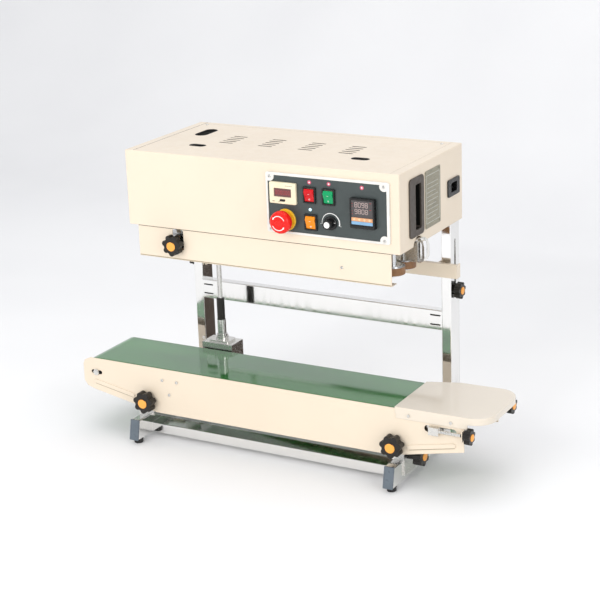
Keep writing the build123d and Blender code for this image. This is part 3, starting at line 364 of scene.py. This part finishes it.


# ---------------------------------------------------------------------------
# Mesh builders, in millimetres.
# ---------------------------------------------------------------------------
def place(name, mesh, look, body, slot=None, sharp=None, bevel=0.0):
    """Make an object of a mesh; `sharp` is the crease angle in degrees of a smooth piece."""
    for polygon in mesh.polygons:
        polygon.use_smooth = sharp is not None
    if sharp is not None:
        mesh.set_sharp_from_angle(angle=radians(sharp))
    mesh.materials.append(LOOKS[look])
    ob = bpy.data.objects.new(name, mesh)
    bpy.context.scene.collection.objects.link(ob)
    if bevel:
        edge = ob.modifiers.new("edge", "BEVEL")
        edge.width = bevel * MM
        edge.segments = 2
        edge.limit_method = "ANGLE"
        edge.angle_limit = radians(40)
        edge.harden_normals = False
    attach(ob, body)
    return ob


def piece(name, verts, faces, *args, **options):
    mesh = bpy.data.meshes.new(name)
    mesh.from_pydata([Vector(v) * MM for v in verts], [], faces)
    bm = bmesh.new()
    bm.from_mesh(mesh)
    bmesh.ops.remove_doubles(bm, verts=bm.verts, dist=1e-7)
    bmesh.ops.recalc_face_normals(bm, faces=bm.faces)
    bm.to_mesh(mesh)
    bm.free()
    return place(name, mesh, *args, **options)


def basis(axis):
    z = Vector(axis).normalized()
    x = Vector(UP) if abs(z.z) < 0.9 else Vector(RIGHT)
    x = (x - z * x.dot(z)).normalized()
    return x, z.cross(x), z


def lathe(name, centre, axis, profile, look, body, slot=None, seg=40, sharp=38):
    """Solid of revolution; profile is (radius, height), starting and ending on the axis."""
    x, y, z = basis(axis)
    centre = Vector(centre)
    verts, rings = [], []
    for radius, height in profile:
        first = len(verts)
        if radius < 1e-6:
            verts.append(centre + z * height)
        else:
            for i in range(seg):
                a = 2 * pi * i / seg
                verts.append(centre + z * height + (x * cos(a) + y * sin(a)) * radius)
        rings.append(range(first, len(verts)))
    faces = []
    for low, high in zip(rings, rings[1:]):
        for i in range(seg):
            j = (i + 1) % seg
            if len(low) == 1:
                faces.append((low[0], high[i], high[j]))
            elif len(high) == 1:
                faces.append((low[i], high[0], low[j]))
            else:
                faces.append((low[i], high[i], high[j], low[j]))
    return piece(name, verts, faces, look, body, slot, sharp=sharp)


def extrude(name, outlines, origin, axes, depth, look, body="head", slot=None, bevel=0.0):
    """Flat outlines in the plane of the first two axes, extruded along the third."""
    verts, faces = [], []
    origin = Vector(origin)
    u, v, n = (Vector(axis) for axis in axes)
    for outline in outlines:
        base = len(verts)
        k = len(outline)
        for d in (0, depth):
            for a, b in outline:
                verts.append(origin + u * a + v * b + n * d)
        faces.append(tuple(range(base + k - 1, base - 1, -1)))
        faces.append(tuple(range(base + k, base + 2 * k)))
        for i in range(k):
            j = (i + 1) % k
            faces.append((base + i, base + j, base + k + j, base + k + i))
    piece(name, verts, faces, look, body, slot, bevel=bevel)


def front(name, outlines, y, depth, look, slot=None, **options):
    """Outlines in (x, z), raised towards the front from plane y."""
    extrude(name, outlines, (0, y, 0), (RIGHT, UP, FRONT), depth, look, slot=slot, **options)


def top(name, outlines, z, depth, look, slot):
    """Outlines in (x, y), raised upwards from plane z."""
    extrude(name, outlines, (0, 0, z), (RIGHT, BACK, UP), depth, look, slot=slot)


def side(name, outlines, x, depth, look, slot, sign=1):
    """Outlines in (y, z), raised from plane x towards +X or, with sign -1, -X."""
    extrude(name, outlines, (x, 0, 0), (BACK, UP, (sign, 0, 0)), depth, look, slot=slot)


def rect(a0, a1, b0, b1):
    return [(a0, b0), (a1, b0), (a1, b1), (a0, b1)]


def rounded(x0, x1, z0, z1, r, seg=5):
    points = []
    for x, z, start in ((x1 - r, z1 - r, 0), (x0 + r, z1 - r, 90),
                        (x0 + r, z0 + r, 180), (x1 - r, z0 + r, 270)):
        for i in range(seg + 1):
            a = radians(start + 90 * i / seg)
            points.append((x + r * cos(a), z + r * sin(a)))
    return points


def disc(x, z, r, seg=28):
    return [(x + r * cos(2 * pi * i / seg), z + r * sin(2 * pi * i / seg)) for i in range(seg)]


def arc(x, z, inner_r, outer_r, start, end, seg, taper=0.0):
    """Annular sector between two angles in degrees; taper thins it towards its end."""
    outer, inner = [], []
    mid = (inner_r + outer_r) / 2
    for i in range(seg + 1):
        t = i / seg
        a = radians(start + (end - start) * t)
        half = (outer_r - inner_r) * 0.5 * (1 - taper * t)
        outer.append((x + (mid + half) * cos(a), z + (mid + half) * sin(a)))
        inner.append((x + (mid - half) * cos(a), z + (mid - half) * sin(a)))
    return outer + inner[::-1]


def stadium(x, y, length, width, along_y=False, grow=0.0, seg=12):
    """Oval with straight sides, grown outwards all round."""
    r = width / 2 + grow
    half = (length - width) / 2
    points = []
    for sign, start in ((1, -pi / 2), (-1, pi / 2)):
        for i in range(seg + 1):
            a = start + pi * i / seg
            points.append((sign * half + r * cos(a), r * sin(a)))
    return [(x + (-b if along_y else a), y + (a if along_y else b)) for a, b in points]


def cable(name, points, r, look, slot, seg=10, smooth_steps=3):
    """Round cable along a path smoothed by cutting its corners."""
    path = [Vector(p) for p in points]
    for _ in range(smooth_steps):
        cut = [path[0]]
        for a, b in zip(path, path[1:]):
            cut += [a * 0.75 + b * 0.25, a * 0.25 + b * 0.75]
        path = cut + [path[-1]]
    verts, faces = [], []
    last = len(path) - 1
    x = None
    for i, centre in enumerate(path):
        along = (path[min(i + 1, last)] - path[max(i - 1, 0)]).normalized()
        if x is None:
            x = along.orthogonal().normalized()
        else:
            x = (x - along * x.dot(along)).normalized()
        y = along.cross(x)
        for k in range(seg):
            a = 2 * pi * k / seg
            verts.append(centre + (x * cos(a) + y * sin(a)) * r)
    for i in range(last):
        for k in range(seg):
            m = (k + 1) % seg
            faces.append((i * seg + k, i * seg + m, (i + 1) * seg + m, (i + 1) * seg + k))
    faces.append(tuple(range(seg - 1, -1, -1)))
    faces.append(tuple(range(last * seg, (last + 1) * seg)))
    piece(name, verts, faces, look, "head", slot, sharp=38)


def box_mm(node):
    lo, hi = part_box(node)
    return lo / MM, hi / MM


joints = {j["name"]: j for j in frame["joints"]}


def joint_mm(name):
    return Vector(joints[name]["pos_m"]) / MM


# ---------------------------------------------------------------------------
# Clamp knobs: domed orange caps.
# ---------------------------------------------------------------------------
def cap_profile(rim_r, shoulder_r, dome_r, crown_r):
    return [(0, -2.2), (rim_r, -2.2), (rim_r, -0.5), (shoulder_r, 0.05), (dome_r, 0.45),
            (crown_r, 0.7), (0, 0.8)]


# cap, CAD node, outward axis, body, radius
CAPS = [
    ("left_conveyor", "left_conveyor_knob", FRONT, "left_conveyor_knob", 9.8),
    ("right_conveyor", "right_conveyor_knob", FRONT, "right_conveyor_knob", 9.8),
    ("pressure", "pressure_knob", FRONT, "pressure_knob", 9.2),
    ("saddle", "saddle_clamp_knob", RIGHT, "saddle_knob", 9.2),
    ("front_tension", "front_tension_knob", RIGHT, "front_tension_knob", 6.9),
    ("rear_tension", "rear_tension_knob", RIGHT, "rear_tension_knob", 7.4),
]
for name, node, axis, body, r in CAPS:
    lo, hi = box_mm(node)
    outward = Vector(axis)
    middle = (lo + hi) / 2
    end = max(hi.dot(outward), lo.dot(outward))
    lathe("cap_" + name, middle - outward * middle.dot(outward) + outward * end, axis,
          cap_profile(r, r * 0.94, r * 0.75, r * 0.4), "orange_cap", body, "black_plastic")

lo, hi = box_mm("head_clamp_knobs")
turn = joint_mm("head_clamp_knobs_turn")
for name, x, sign in (("right", hi.x, 1), ("left", lo.x, -1)):
    lathe("cap_head_" + name, (x, turn.y, turn.z), (sign, 0, 0), cap_profile(7.4, 6.9, 5.5, 3.0),
          "orange_cap", "head_clamp_knobs", "black_plastic")

# ---------------------------------------------------------------------------
# Control panel.
# ---------------------------------------------------------------------------
panel_lo = box_mm("panel_face")[0]
face_y = panel_lo.y                 # front plane of the dark face
middle_x = panel_lo.x - 26.1        # the machine's middle plane
PRINT = 0.10                        # thickness of printing and of lit figures


def across(x):
    """X of a place measured from the middle plane."""
    return middle_x + x


def figure(x, z, width, height, bar, lit):
    """Seven-segment figure as separate bars; x, z is its lower left corner."""
    gap = 0.12 * bar
    end = bar * .6
    right, mid, high = x + width, z + height / 2, z + height
    bars = {
        "a": (x + end, right - end, high - bar, high),
        "d": (x + end, right - end, z, z + bar),
        "g": (x + end, right - end, mid - bar / 2, mid + bar / 2),
        "b": (right - bar, right, mid + gap, high - end),
        "c": (right - bar, right, z + end, mid - gap),
        "f": (x, x + bar, mid + gap, high - end),
        "e": (x, x + bar, z + end, mid - gap)}
    return [rect(*bars[key]) for key in bars if key in lit]


def add_counter():
    """Counter window, six zeros and small marks."""
    counter_y = box_mm("counter")[0].y
    front("counter_window", [rounded(across(40.8), across(76.2), 532.8, 548.2, r=0.8)],
          counter_y + 2.0, 0.7, "counter_window", "black_gloss")
    digits = []
    for i in range(6):
        digits += figure(across(43.0 + i * 5.3), 536.6, width=3.6, height=7.6, bar=0.75,
                         lit="abcdef")
    front("counter_digits", digits, counter_y + 1.35, 0.12, "dim_segments", "red_plastic")
    # x from and to, z from and to, corner radius
    marks = [(64, 79, 553.2, 554.2, 0.3), (37, 42, 523.0, 524.6, 0.5), (50, 53.5, 523.2, 524.2, 0.4)]
    front("counter_marks", [rounded(across(a), across(b), c, d, r) for a, b, c, d, r in marks],
          counter_y, 0.08, "seam_shadow", "ivory_plastic")


def add_panel_print():
    """Three printed rings and the power lamp."""
    spots = [(across(x), z) for x, z in ((112, 563.5), (151.6, 563.6), (218, 562.8))]
    front("printed_rings", [disc(x, z, r=3.7) for x, z in spots],
          face_y, PRINT, "pink_print", "dark_face")
    front("printed_ring_centres", [disc(x, z, r=1.5) for x, z in spots],
          face_y - PRINT, 0.08, "white_print", "dark_face")
    lathe("power_lamp", (across(112.5), face_y, 512.9), FRONT,
          [(0, 0), (2.9, 0), (2.9, 0.6), (2.4, 1.5), (1.3, 2.1), (0, 2.3)],
          "power_led", "head", "ivory_plastic", seg=24)


def add_speed_knob():
    """Tapering printed arc with end ticks, and the knob's cap and pointer."""
    turn = joint_mm("speed_knob_turn")
    x, z = turn.x, turn.z
    start, end = -14, 188       # degrees
    ticks = [arc(x, z, 19.8, 21.4, a - 1.4, a + 1.4, seg=2) for a in (start, end)]
    front("speed_scale", [arc(x, z, 16.6, 18.9, start, end, seg=40, taper=0.65)] + ticks,
          face_y, PRINT, "white_print", "dark_face")
    lathe("speed_knob_cap", (x, box_mm("speed_knob")[0].y, z), FRONT,
          [(0, -0.8), (5.9, -0.8), (5.9, -0.1), (5.4, 0.3), (3.0, 0.5), (0, 0.55)],
          "white_print", "speed_knob", "ivory_plastic", seg=32)
    pointer = [(8.8, 0.9), (11.4, 1.6), (11.3, 2.5), (8.8, 1.8)]
    front("speed_knob_pointer", [[(x + a, z + b) for a, b in pointer]],
          -121.5, 0.12, "white_print", "ivory_plastic", body="speed_knob")


def add_rocker_marks():
    """A dash on the upper face and a ring on the lower face of each rocker."""
    tilt = Matrix.Rotation(radians(8.0), 3, "X")
    # mark, height, lower and upper (y, z) ends of the paddle face under it, outline
    marks = [
        ("dash", 3.2, (-3.6, -3.0), (-6.0, 6.4), rounded(-1.7, 1.7, -0.32, 0.32, r=0.2)),
        ("ring", -7.4, (-3.4, -11.6), (-3.6, -3.0), arc(0, 0, 1.0, 1.55, 0, 359.5, seg=20)),
    ]
    for colour in ("red", "green", "amber"):
        pivot = joint_mm(colour + "_rocker_tilt")
        for label, height, (ya, za), (yb, zb), outline in marks:
            y = ya + (yb - ya) * (height - za) / (zb - za)
            normal = (tilt @ Vector((0, -(zb - za), yb - ya))).normalized()
            origin = pivot + tilt @ Vector((0, y - 0.02, height))
            axes = (RIGHT, normal.cross(Vector(RIGHT)), normal)
            extrude(colour + "_mark_" + label, [outline], origin, axes, 0.12,
                    "white_print", colour + "_rocker", "ivory_plastic")


def add_controller():
    """Temperature controller: glass, figures, lamps, key strip, keys and blue strip."""
    lo, hi = box_mm("temperature_controller")
    x, z = (lo.x + hi.x) / 2, (lo.z + hi.z) / 2
    back_y = lo.y + 1.0
    half_width = 21.0
    glass, strip = 0.35, 0.80       # thicknesses
    figure_x, figure_pitch = -14.6, 6.9

    def band(name, low, high, r, depth, look, slot):
        outline = rounded(x - half_width, x + half_width, z + low, z + high, r)
        front(name, [outline], back_y, depth, look, slot)

    band("controller_glass", -7.0, 24.0, 0.6, glass, "display_glass", "black_gloss")
    # row, foot of the figures, height, bar width, lit bars of each figure
    for row, foot, height, bar, figures in (
            ("upper", 11.2, 9.6, 1.2, ("abcdefg", "abcdef", "abcdfg", "abcdefg")),
            ("lower", -0.6, 9.0, 1.15, ("abcdfg", "abcdefg", "abcdef", "abcdefg"))):
        bars = []
        for i, lit in enumerate(figures):
            bars += figure(x + figure_x + i * figure_pitch, z + foot, 5.7, height, bar, lit)
        front("controller_" + row + "_figures", bars, back_y - glass, PRINT,
              "lit_segments", "ivory_plastic")
    lamps = [disc(x - 19.2, z + up, r=0.7, seg=12) for up in (18, 13, 4, -1)]
    lamps += [rounded(x + 15.0, x + 18.4, z + up, z + up + 0.8, r=0.2) for up in (20, 8)]
    front("controller_lamps", lamps, back_y - glass, PRINT, "dim_segments", "red_plastic")
    band("controller_key_strip", -14.0, -7.4, 0.5, strip, "key_strip", "ivory_plastic")
    keys = [disc(x - 15.5 + i * 10.2, z - 10.7, r=2.3, seg=24) for i in range(4)]
    front("controller_keys", keys, back_y - strip, 0.20, "key_dot", "ivory_plastic", bevel=0.08)
    band("controller_blue_strip", -20.2, -14.3, 0.4, strip, "blue_strip", "grey_plastic")


# (radius, height) from the stem up to the cap front at height 0, then in over the crown
STOP_PROFILE = [
    (0, -25.3), (7.9, -25.3), (7.9, -16.6), (18.6, -16.6), (20.3, -15.6), (21.0, -13.6),
    (21.0, -8.0), (20.2, -4.2), (18.0, -1.5), (15.6, -0.35), (13.4, 0.0), (11.2, -0.3),
    (9.6, -1.2), (9.0, -1.35), (8.6, -1.1), (8.0, -0.5), (6.0, -0.15), (3.0, 0.0), (0, 0.0),
]


def add_emergency_stop():
    """Turned mushroom in place of the plain CAD one, with two turn arrows."""
    lo, hi = box_mm("e_stop_button")
    x, z = (lo.x + hi.x) / 2, (lo.z + hi.z) / 2
    stop = lathe("stop_mushroom", (x, lo.y, z), FRONT, STOP_PROFILE,
                 "red_plastic", "e_stop_button", seg=56)
    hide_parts("e_stop_button")
    mid_r, head_half, head_turn, sweep = 13.25, 2.1, 0.30, 112
    arrows = []
    for start in (25, 205):
        arrows.append(arc(x, z, 12.5, 14.0, start, start + sweep, seg=22))
        a = radians(start + sweep)
        head = ((mid_r + head_half, a), (mid_r, a + head_turn), (mid_r - head_half, a))
        arrows.append([(x + r * cos(t), z + r * sin(t)) for r, t in head])
    front("stop_arrows", arrows, lo.y + 0.10, 0.22, "white_print", "ivory_plastic",
          body="e_stop_button")


add_counter()
add_panel_print()
add_speed_knob()
add_rocker_marks()
add_controller()
add_emergency_stop()


# ---------------------------------------------------------------------------
# Screws: pan heads with a cross recess.
# ---------------------------------------------------------------------------
def pan_heads(name, spots, body):
    """spots: (centre on the seating plane, outward axis, radius, height)."""
    seg = 24
    bm = bmesh.new()
    for centre, axis, r, h in spots:
        x, y, z = basis(axis)
        centre = Vector(centre)
        rings = []
        for radius, up in ((r, 0.0), (r, h * 0.35), (r * 0.90, h * 0.72), (r * 0.70, h * 0.95)):
            ring = []
            for i in range(seg):
                a = 2 * pi * i / seg
                point = centre + z * up + (x * cos(a) + y * sin(a)) * radius
                ring.append(bm.verts.new(point * MM))
            rings.append(ring)
        bottom = bm.verts.new(centre * MM)
        for i in range(seg):
            bm.faces.new((bottom, rings[0][(i + 1) % seg], rings[0][i]))
        for a, b in zip(rings, rings[1:]):
            for i in range(seg):
                j = (i + 1) % seg
                bm.faces.new((a[i], a[j], b[j], b[i]))
        # cross recess: star outline on the crown, smaller floor below it
        w, arm = r * 0.13, r * 0.52
        star = [(w, w), (w, arm), (-w, arm), (-w, w), (-arm, w), (-arm, -w),
                (-w, -w), (-w, -arm), (w, -arm), (w, -w), (arm, -w), (arm, w)]
        crown = [bm.verts.new((centre + z * h + x * a + y * b) * MM) for a, b in star]
        floor = [bm.verts.new((centre + z * h * 0.35 + x * a * 0.8 + y * b * 0.8) * MM)
                 for a, b in star]
        bm.faces.new(floor)
        for i in range(12):
            j = (i + 1) % 12
            bm.faces.new((crown[i], crown[j], floor[j], floor[i]))
        # bridge to the ring: two ring steps per star step, the first star point at 45 degrees
        for i in range(12):
            chain = [rings[-1][(3 + 2 * i + k) % seg] for k in range(3)]
            bm.faces.new([crown[i]] + chain + [crown[(i + 1) % 12]])
    bmesh.ops.recalc_face_normals(bm, faces=bm.faces)
    mesh = bpy.data.meshes.new(name)
    bm.to_mesh(mesh)
    bm.free()
    return place(name, mesh, "bright_steel", body, sharp=35)


panel_corners = [(30, 568.6), (262, 568.6), (262, 469.6), (30, 469.6)]
head_screws = pan_heads(
    "panel_and_cover_screws",
    [((across(x), -118.6, z), FRONT, 3.1, 1.6) for x, z in panel_corners]
    + [((across(171), -112.3, 409), FRONT, 3.0, 1.7)]
    + [((across(x), 134, 592.0), UP, 3.0, 1.6) for x in (-259.7, 259.7)],
    "head")
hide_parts("head_screws")

# ---------------------------------------------------------------------------
# Cover details.
# ---------------------------------------------------------------------------
cover_lo, cover_hi = box_mm("head_cover")
cover_top = cover_hi.z
cover_mid_x = (cover_hi.x + cover_lo.x) / 2
COVER_HALF = 290                    # half width of the cover
# opening, x from the middle, y, length, width, long side along Y
OPENINGS = [
    ("round", -222.5, 72, 62, 27, True),
    ("left", -176, -34, 36, 18, False),
    ("right", 170.5, -28, 37, 18, False),
]
LOUVRE_X = (-135.5, -48.75, 37.75, 123.75)


def add_seams():
    y0, y1 = cover_lo.y + 3.5, cover_hi.y - 3.5
    left, right, back = cover_lo.x, cover_hi.x, cover_hi.y
    z, raised = cover_top - 0.02, 0.07
    top("cover_left_seam", [rect(left + 17.9, left + 19.0, y0, y1)],
        z, raised, "gap_line", "cream_paint")
    top("cover_other_seams", [rect(right - 18.7, right - 18.3, y0, y1),
                              rect(left + 19.4, right - 19, back - 15.2, back - 14.7)],
        z, raised, "seam_shadow", "cream_paint")


def add_guard_lines():
    """Painted shadow line on the guard just below the cover's edge, where the guard goes up behind the cover, and
    a painted shade line along the fold of its lower edge.
    """
    lo, hi = box_mm("front_guard")
    x0, x1 = lo.x + 0.6, hi.x - 0.6
    # Dark strip painting the shadow under the cover's edge.
    front("guard_painted_shadow_line", [rounded(x0, x1, 444.2, 446.4, r=0.3)],
          lo.y, 0.35, "gap_line", "black_rubber")
    # Brownish strip painting the shade along the folded lower lip.
    front("guard_fold_shade_line", [rounded(x0, x1, lo.z + 1.4, lo.z + 3.1, r=0.3)],
          lo.y, 0.10, "lip_shadow", "cream_paint")


# (outward, upward) section of the bead round an oval opening
RIM_SECTION = [(-1.1, -2.2), (0.9, -2.2), (0.9, -0.6), (0.2, 0.35), (-0.6, 0.35), (-1.1, -0.2)]


def rim(name, oval):
    """Moulded grommet lining an oval opening."""
    loops = [[(x, y, cover_top + up) for x, y in stadium(*oval, grow=out - 0.95)]
             for out, up in RIM_SECTION]
    n = len(loops[0])
    faces = []
    for a in range(len(loops)):
        b = (a + 1) % len(loops)
        for i in range(n):
            j = (i + 1) % n
            faces.append((a * n + i, a * n + j, b * n + j, b * n + i))
    piece(name, sum(loops, []), faces, "black_rubber", "head", sharp=38)


def add_openings():
    """Rims of the oval openings, and near-black screens under the openings and the louvres, painted shade for the
    dark inside of the head.
    """
    ovals = []
    for name, x, *rest in OPENINGS:
        ovals.append((across(x), *rest))
        rim("rim_" + name + "_oval", ovals[-1])
    # Near-black screens under the oval openings: painted shade.
    top("opening_shade_screens", [stadium(*oval, grow=-1.0) for oval in ovals],
        cover_top - 3.4, 0.9, "dark_gap", "black_rubber")
    # Near-black screens under the louvre slots: painted shade.
    slots = [stadium(across(x), y, 30.8, 4.8) for x in LOUVRE_X for y in range(4, 61, 14)]
    top("louvre_shade_screens", slots, cover_top - 1.05, 0.75, "dark_gap", "black_rubber")


def add_pocket_shade():
    """Near-black floors and walls in the two grip pockets in the cover's ends and a near-black floor in the power
    inlet, painted shade in these recesses.
    """
    y0, y1, z0, z1 = -52.9, -29.1, 475.7, 559.4
    clear, corner, wall = 0.2, 3.6, 0.35
    floor = rounded(y0 + clear, y1 - clear, z0 + clear, z1 - clear, r=3.2)
    walls = [rect(y0, y0 + wall, z0 + corner, z1 - corner),
             rect(y1 - wall, y1, z0 + corner, z1 - corner),
             rect(y0 + corner, y1 - corner, z0, z0 + wall),
             rect(y0 + corner, y1 - corner, z1 - wall, z1)]
    # The grip pockets' floors and walls paint the shade in the recesses.
    for sign, label in ((-1, "left"), (1, "right")):
        side(label + "_grip_shade_floor", [floor], cover_mid_x + sign * (COVER_HALF - 15.9), 0.4,
             "dark_gap", "black_rubber", sign)
        side(label + "_grip_shade_walls", walls, cover_mid_x + sign * (COVER_HALF - 15.4), 14.6,
             "dark_gap", "black_rubber", sign)
    # The power inlet's floor paints the shade in its recess.
    side("inlet_shade_floor", [rounded(102.4, 127.6, 508.9, 526.1, r=2.6)],
         cover_mid_x + COVER_HALF - 16.9, 0.4, "dark_gap", "black_rubber")


def add_plate_ruling():
    """Frame and blank ruled fields of the plate, no lettering."""
    lo, hi = box_mm("rating_plate")
    y0, y1, z0, z1 = lo.y + 4.5, hi.y - 4.5, lo.z + 9, hi.z - 9
    border, rule, pitch = 0.5, 0.45, 8.0
    lines = [rect(y0, y1, z0, z0 + border), rect(y0, y1, z1 - border, z1),
             rect(y0, y0 + border, z0, z1), rect(y1 - border, y1, z0, z1)]
    for i in range(9):
        z = z0 + 9 + i * pitch
        lines.append(rect(y0 + 3, y1 - (6 if i % 3 else 16), z, z + rule))
    side("plate_ruling", lines, lo.x + 0.8, 0.06, "white_print", "rating_aluminium")


add_seams()
add_guard_lines()
add_openings()
add_pocket_shade()
add_plate_ruling()

# ---------------------------------------------------------------------------
# Conveyor details.
# ---------------------------------------------------------------------------
PANEL_Y = -115.0                    # front plane of the conveyor panels
# x from the middle, y, z
CONVEYOR_SCREWS = [(-237, PANEL_Y, 130), (-203, PANEL_Y, 130), (-222, PANEL_Y, 101),
                   (302, -116.5, 143), (386, -116.5, 143)]
pan_heads("conveyor_panel_screws",
          [((across(x), y, z), FRONT, 3.15, 1.95) for x, y, z in CONVEYOR_SCREWS], "conveyor")

# Soft shade under the two embossed beads: x from the middle, z, slope in degrees, bead width.
for label, x, z, slope, width in (("left", -354, 96, -10.6, 8.5), ("right", 346, 89.5, 11.6, 9.0)):
    c, s = cos(radians(slope)), sin(radians(slope))
    near, far = width / 2 - 0.1, width / 2 + 1.5
    strip = [(across(x) + along * c + down * s, z + along * s - down * c)
             for along, down in ((-47, near), (47, near), (46, far), (-46, far))]
    front(label + "_bead_shade", [strip], PANEL_Y, 0.12, "lip_shadow", "cream_paint",
          body="conveyor")

# Rolled threads on the visible length of the two tension studs.
THREAD_START, THREAD_PITCH = 353.0, 1.27
ROOT_R, CREST_R = 3.08, 3.34
for name, stud_end in (("front", 409.5), ("rear", 418.5)):
    turn = joint_mm(name + "_tension_knob_turn")
    profile, h = [(0, 0.0)], 0.0
    while THREAD_START + h < stud_end - 2.5:
        profile += [(ROOT_R, h), (CREST_R, h + 0.55), (CREST_R, h + 0.75), (ROOT_R, h + 1.25)]
        h += THREAD_PITCH
    profile.append((0, h))
    lathe(name + "_stud_thread", (across(THREAD_START), turn.y, turn.z), RIGHT, profile,
          "bright_steel", name + "_tension_knob", seg=24, sharp=20)

# Bright bracket of the pressure screw, seen through the opening in the guard.
screw_x = joint_mm("pressure_knob_turn").x
front("pressure_bracket", [rounded(screw_x + 6.8, screw_x + 16.6, 406.0, 436.0, r=1.2)],
      -106.2, 1.2, "bright_steel", body="pressure_carriage", bevel=0.3)

# Cables under the head, from the blocks to the electrics:
# name, radius, look, slot, path with x from the middle
CABLES = [
    ("cable_heater_a", 1.3, "cable_white", "ivory_plastic",
     [(22, -52, 401), (8, -52, 403), (4, -60, 420), (6, -70, 440), (8, -76, 449)]),
    ("cable_heater_b", 1.3, "cable_white", "ivory_plastic",
     [(22, -28, 401), (8, -27, 404), (2, -18, 424), (4, -8, 440), (8, 0, 449)]),
    ("cable_sensor", 1.0, "cable_red", "silicone",
     [(158, -28, 403), (168, -22, 410), (176, -12, 430), (178, -6, 449)]),
]
for name, r, look, slot, path in CABLES:
    cable(name, [(across(x), y, z) for x, y, z in path], r, look, slot)


# ---------------------------------------------------------------------------
# Stage, lights and camera, in metres.
# ---------------------------------------------------------------------------
def stage_object(name, verts, faces, look):
    mesh = bpy.data.meshes.new(name)
    mesh.from_pydata(verts, [], faces)
    mesh.materials.append(LOOKS[look])
    ob = bpy.data.objects.new(name, mesh)
    bpy.context.scene.collection.objects.link(ob)
    return ob


def add_floor():
    """Floor that curves up into a back wall."""
    m = Look("studio_floor")
    m.put("Base Color", m.mix(m.span(m.noise(scale=1.7, detail=2)),
                              (0.83, 0.83, 0.835), (0.86, 0.86, 0.862)))
    m.put("Roughness", 0.75)
    m.put("Specular IOR Level", 0.2)
    m.bump(m.noise(scale=240.0), strength=0.03, distance=0.0004)

    front_y, bend_y, bend_r, wall_top, half_width = -7.0, 1.6, 1.2, 3.6, 9.0
    angles = [pi / 2 * i / 12 for i in range(1, 13)]
    profile = [(front_y, 0.0), (bend_y, 0.0)]
    profile += [(bend_y + bend_r * sin(a), bend_r - bend_r * cos(a)) for a in angles]
    profile.append((bend_y + bend_r, wall_top))
    verts = [(x, y, z) for x in (-half_width, half_width) for y, z in profile]
    k = len(profile)
    faces = [(i, k + i, k + i + 1, i + 1) for i in range(k - 1)]
    floor = stage_object("floor", verts, faces, "studio_floor")
    for polygon in floor.data.polygons:
        polygon.use_smooth = True


def add_light(name, location, size, power, colour=(1, 1, 1), in_reflections=True):
    """Area light aimed at the middle of the machine."""
    data = bpy.data.lights.new(name, "AREA")
    data.shape = "RECTANGLE"
    data.size, data.size_y = size
    data.energy = power
    data.color = colour
    ob = bpy.data.objects.new(name, data)
    bpy.context.scene.collection.objects.link(ob)
    ob.location = location
    aim = Vector((0, 0, 0.3)) - Vector(location)
    ob.rotation_euler = aim.to_track_quat("-Z", "Y").to_euler()
    ob.visible_glossy = in_reflections


def add_dark_card():
    """Dark card lying just above the floor behind the machine, seen only in reflections."""
    colour = (0.045, 0.027, 0.016)
    m = Look("dark_low_back_card")
    m.put("Base Color", m.mix(m.span(m.noise(scale=3.0, detail=2)), shade(colour, 0.9), colour))
    m.put("Roughness", 0.9)
    x, y, z = 0.05, 0.83, 0.006
    half_x, half_y = 0.66 / 2, 1.16 / 2
    corners = ((-1, -1), (-1, 1), (1, 1), (1, -1))
    verts = [(x + a * half_x, y + b * half_y, z) for a, b in corners]
    card = stage_object("dark_low_back", verts, [(0, 1, 2, 3)], "dark_low_back_card")
    card.visible_camera = False
    card.visible_shadow = False
    card.visible_diffuse = False


def add_world():
    world = bpy.data.worlds.new("studio")
    bpy.context.scene.world = world
    world.use_nodes = True
    background = world.node_tree.nodes["Background"]
    background.inputs["Color"].default_value = (0.96, 0.97, 1.0, 1)
    background.inputs["Strength"].default_value = 0.80


def add_camera():
    """Camera in front, to the right and above, turned by azimuth, elevation and roll."""
    data = bpy.data.cameras.new("camera")
    camera = bpy.data.objects.new("camera", data)
    bpy.context.scene.collection.objects.link(camera)
    bpy.context.scene.camera = camera
    azimuth, elevation, roll = radians(29.631745), radians(17.855768), radians(-2.111672)
    back = Vector((sin(azimuth) * cos(elevation), -cos(azimuth) * cos(elevation), sin(elevation)))
    level = Vector((cos(azimuth), sin(azimuth), 0))
    upright = back.cross(level)
    right = level * cos(roll) + upright * sin(roll)
    up = upright * cos(roll) - level * sin(roll)
    camera.matrix_world = Matrix(((right.x, up.x, back.x, 1.498597),
                                  (right.y, up.y, back.y, -2.630192),
                                  (right.z, up.z, back.z, 1.269122),
                                  (0, 0, 0, 1)))
    data.sensor_width = 36.0
    data.lens = 98.69142
    data.clip_start, data.clip_end = 0.05, 30.0


add_floor()
add_light("key", (-0.5, -3.0, 1.5), size=(2.6, 2.2), power=58, colour=(1.0, 0.985, 0.96),
          in_reflections=False)
add_light("fill", (2.6, -1.4, 1.3), size=(1.4, 1.6), power=22)
add_light("top", (0.0, 0.4, 2.7), size=(2.4, 1.8), power=20)
add_dark_card()
add_world()
view = bpy.context.scene.view_settings
view.view_transform = "Standard"
view.look = "None"
view.exposure = 0.0
add_camera()
